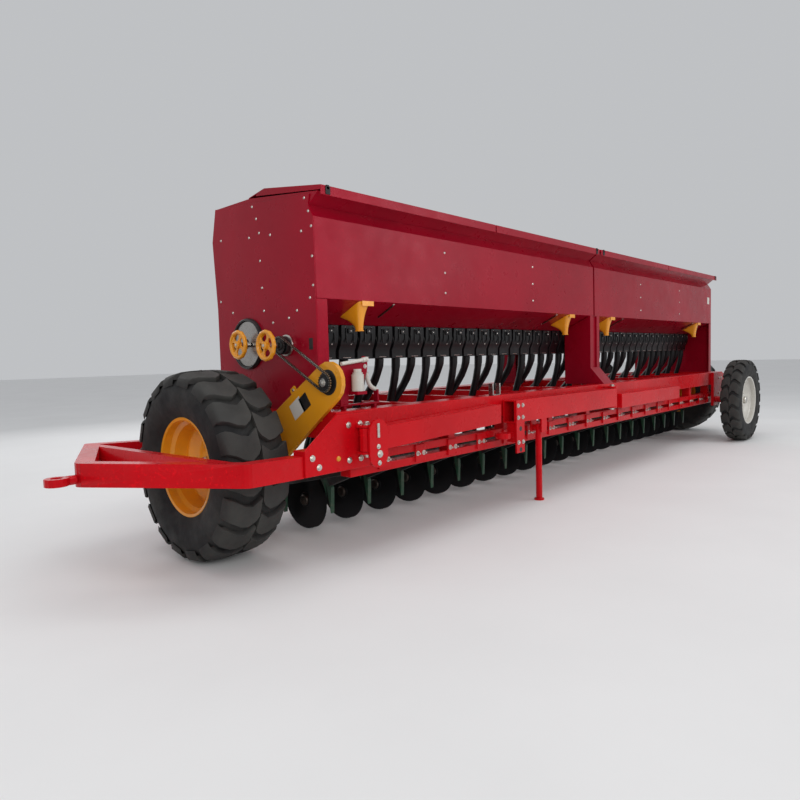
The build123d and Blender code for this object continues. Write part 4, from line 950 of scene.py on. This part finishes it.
def make_funnels():
    """Drain chutes under the front floor: a long mouth on the slope drawn in to a round spout."""
    around, rings, wall = 32, 12, 0.004
    half, front, back, spout_y, spout_z, spout = 0.047, 0.032, 0.200, 0.084, 1.189, 0.021
    chute = []
    for k in range(rings):
        t = k / (rings - 1)
        pull = 1 - (1 - t) ** 2.1
        square = 0.3 + 0.7 * t
        ring = []
        for angle in circle(around):
            c, s = math.cos(angle), math.sin(angle)
            across = math.copysign(abs(c) ** square, c)
            along_y = math.copysign(abs(s) ** square, s)
            mouth_y = (front + back) / 2 + along_y * (back - front) / 2
            x = across * (half + (spout - half) * pull)
            y = mouth_y + (spout_y + along_y * spout - mouth_y) * pull
            ring.append((x, y, (front_floor(mouth_y) - 0.001) * (1 - t) + spout_z * t))
        chute.append(ring)
    one = Shape().loft(chute)
    collar = [(0, spout + 0.0005), (0, spout + wall), (0.006, spout + wall), (0.006, spout + 0.0005)]
    one.lathe(collar, around, moved(0, spout_y, spout_z) @ Matrix.Rotation(-math.pi / 2, 4, "Y"))
    one.block((-0.025, HOPPER_FRONT_Y - 0.001, PANEL_BOTTOM_Z - 0.027),
              (0.062, HOPPER_FRONT_Y + 0.002, PANEL_BOTTOM_Z))
    shape = Shape()
    for x in FUNNEL_X:
        shape.copy(one, Matrix.Translation(spot(x + FUNNEL_SHIFT, 0, 0)))
    shape.piece("drain_chutes", "rim_yellow", angle=40, replaces=["drain_funnels"])


def smooth_path(points, steps):
    """A curve through the points, with steps points between each pair."""
    ends = [points[0]] + points + [points[-1]]
    path = []
    for a, b, c, d in zip(ends, ends[1:], ends[2:], ends[3:]):
        for i in range(steps):
            t = i / steps
            path.append(0.5 * ((2 * b) + (c - a) * t + (2 * a - 5 * b + 4 * c - d) * t ** 2
                               + (3 * b - a - 3 * c + d) * t ** 3))
    return path + [points[-1]]


# CAD nodes that stay: finish and rounded edges

SHEET_NODES = ("lid", "hopper", "end_panel", "footboard")
SHEET_EDGE, STEEL_EDGE, WELD = 0.0012, 0.0035, 0.00002


def dress_nodes():
    """Each carried-over CAD node gets its material, and flat-sided steel gets rounded edges."""
    slots = {item["node"]: item["material_slot"] for item in frame["record"]["subparts"]}
    for name, obj in NODES.items():
        material = MATERIALS[slots[name]]
        if not obj.material_slots:
            obj.data.materials.append(material)
        for slot in obj.material_slots:
            slot.material = material
        if obj.hide_render:
            continue
        obj.modifiers.new("weld", "WELD").merge_threshold = WELD
        rounded(obj, SHEET_EDGE if name.startswith(SHEET_NODES) else STEEL_EDGE)


# Camera, floor and light

CAMERA_AT = (-5.1484, -2.5079, 1.0352)
CAMERA_PITCH, CAMERA_YAW, CAMERA_ROLL = 3.8136, 46.621, 1.5025
FOCAL_PX, PHOTO_PX, SENSOR = 631.92, 800, 36.0
FLOOR_REACH, SKY, SKY_STRENGTH = 60.0, (0.95, 0.97, 1.0), 0.55
WHITE = (1, 1, 1)

# Name, place, target, size, power and colour of each light
LIGHTS = (("overhead", (-1, -1, 7.5), (0, 0, 0.8), (9, 5), 210, WHITE),
          ("front_left", (-7.5, -6.5, 4.0), (-2.5, 0, 1.0), (4, 3), 170, (1.0, 0.98, 0.95)),
          ("front_right", (4.0, -7.5, 3.5), (1.0, 0, 1.0), (5, 3), 130, WHITE),
          ("behind", (1.0, 7.0, 4.0), (0, 0.5, 1.0), (9, 3), 120, WHITE))


def make_camera():
    """The photograph's camera, from its place, pitch, yaw, roll and focal length in pixels."""
    data = bpy.data.cameras.new("camera")
    data.sensor_width = SENSOR
    data.lens = FOCAL_PX / PHOTO_PX * SENSOR
    data.clip_end = 200
    camera = bpy.data.objects.new("camera", data)
    bpy.context.scene.collection.objects.link(camera)
    pitch, yaw, roll = (math.radians(a) for a in (CAMERA_PITCH, CAMERA_YAW, CAMERA_ROLL))
    ahead = Vector((math.sin(yaw) * math.cos(pitch), math.cos(yaw) * math.cos(pitch), -math.sin(pitch)))
    right = Vector((math.cos(yaw), -math.sin(yaw), 0))
    down = ahead.cross(right)
    across = right * math.cos(roll) + down * math.sin(roll)
    lower = -right * math.sin(roll) + down * math.cos(roll)
    turn = Matrix((across, -lower, -ahead)).transposed().to_4x4()
    camera.matrix_world = Matrix.Translation(spot(*CAMERA_AT)) @ turn
    bpy.context.scene.camera = camera


def area_light(name, at, target, size, power, colour):
    data = bpy.data.lights.new(name, "AREA")
    data.shape = "RECTANGLE"
    data.size, data.size_y = size
    data.energy = power
    data.color = colour
    light = bpy.data.objects.new(name, data)
    bpy.context.scene.collection.objects.link(light)
    light.location = at
    light.rotation_euler = (Vector(target) - Vector(at)).to_track_quat("-Z", "Y").to_euler()


def make_stage():
    """A pale floor under soft studio light."""
    floor = bpy.data.meshes.new("floor")
    reach = FLOOR_REACH
    floor.from_pydata([(-reach, -reach, 0), (reach, -reach, 0), (reach, reach, 0), (-reach, reach, 0)], [],
                      [(0, 1, 2, 3)])
    obj = bpy.data.objects.new("floor", floor)
    bpy.context.scene.collection.objects.link(obj)
    s = Shader("floor_pale")
    s.set("Base Color", s.mix(s.vary(s.noise(0.8, 4.0)), rgba((0.78,) * 3), rgba((0.82,) * 3)))
    s.set("Roughness", 0.85)
    floor.materials.append(s.material)
    world = bpy.data.worlds.new("studio")
    world.use_nodes = True
    sky = world.node_tree.nodes["Background"]
    sky.inputs["Color"].default_value = rgba(SKY)
    sky.inputs["Strength"].default_value = SKY_STRENGTH
    bpy.context.scene.world = world
    for light in LIGHTS:
        area_light(*light)
    bpy.context.scene.view_settings.view_transform = "Standard"


make_wheels()
make_discs()
make_tubes()
make_meters()
make_chain()
make_sprockets()
make_hand_wheels()
make_gear_cover()
make_cover_details()
make_rivets()
make_tab_bolts()
make_gusset_bolts()
make_drawbar_details()
make_lid_details()
make_blank_label()
make_slide_rods()
make_bar_clamp()
make_lift()
make_funnels()
dress_nodes()
make_camera()
make_stage()
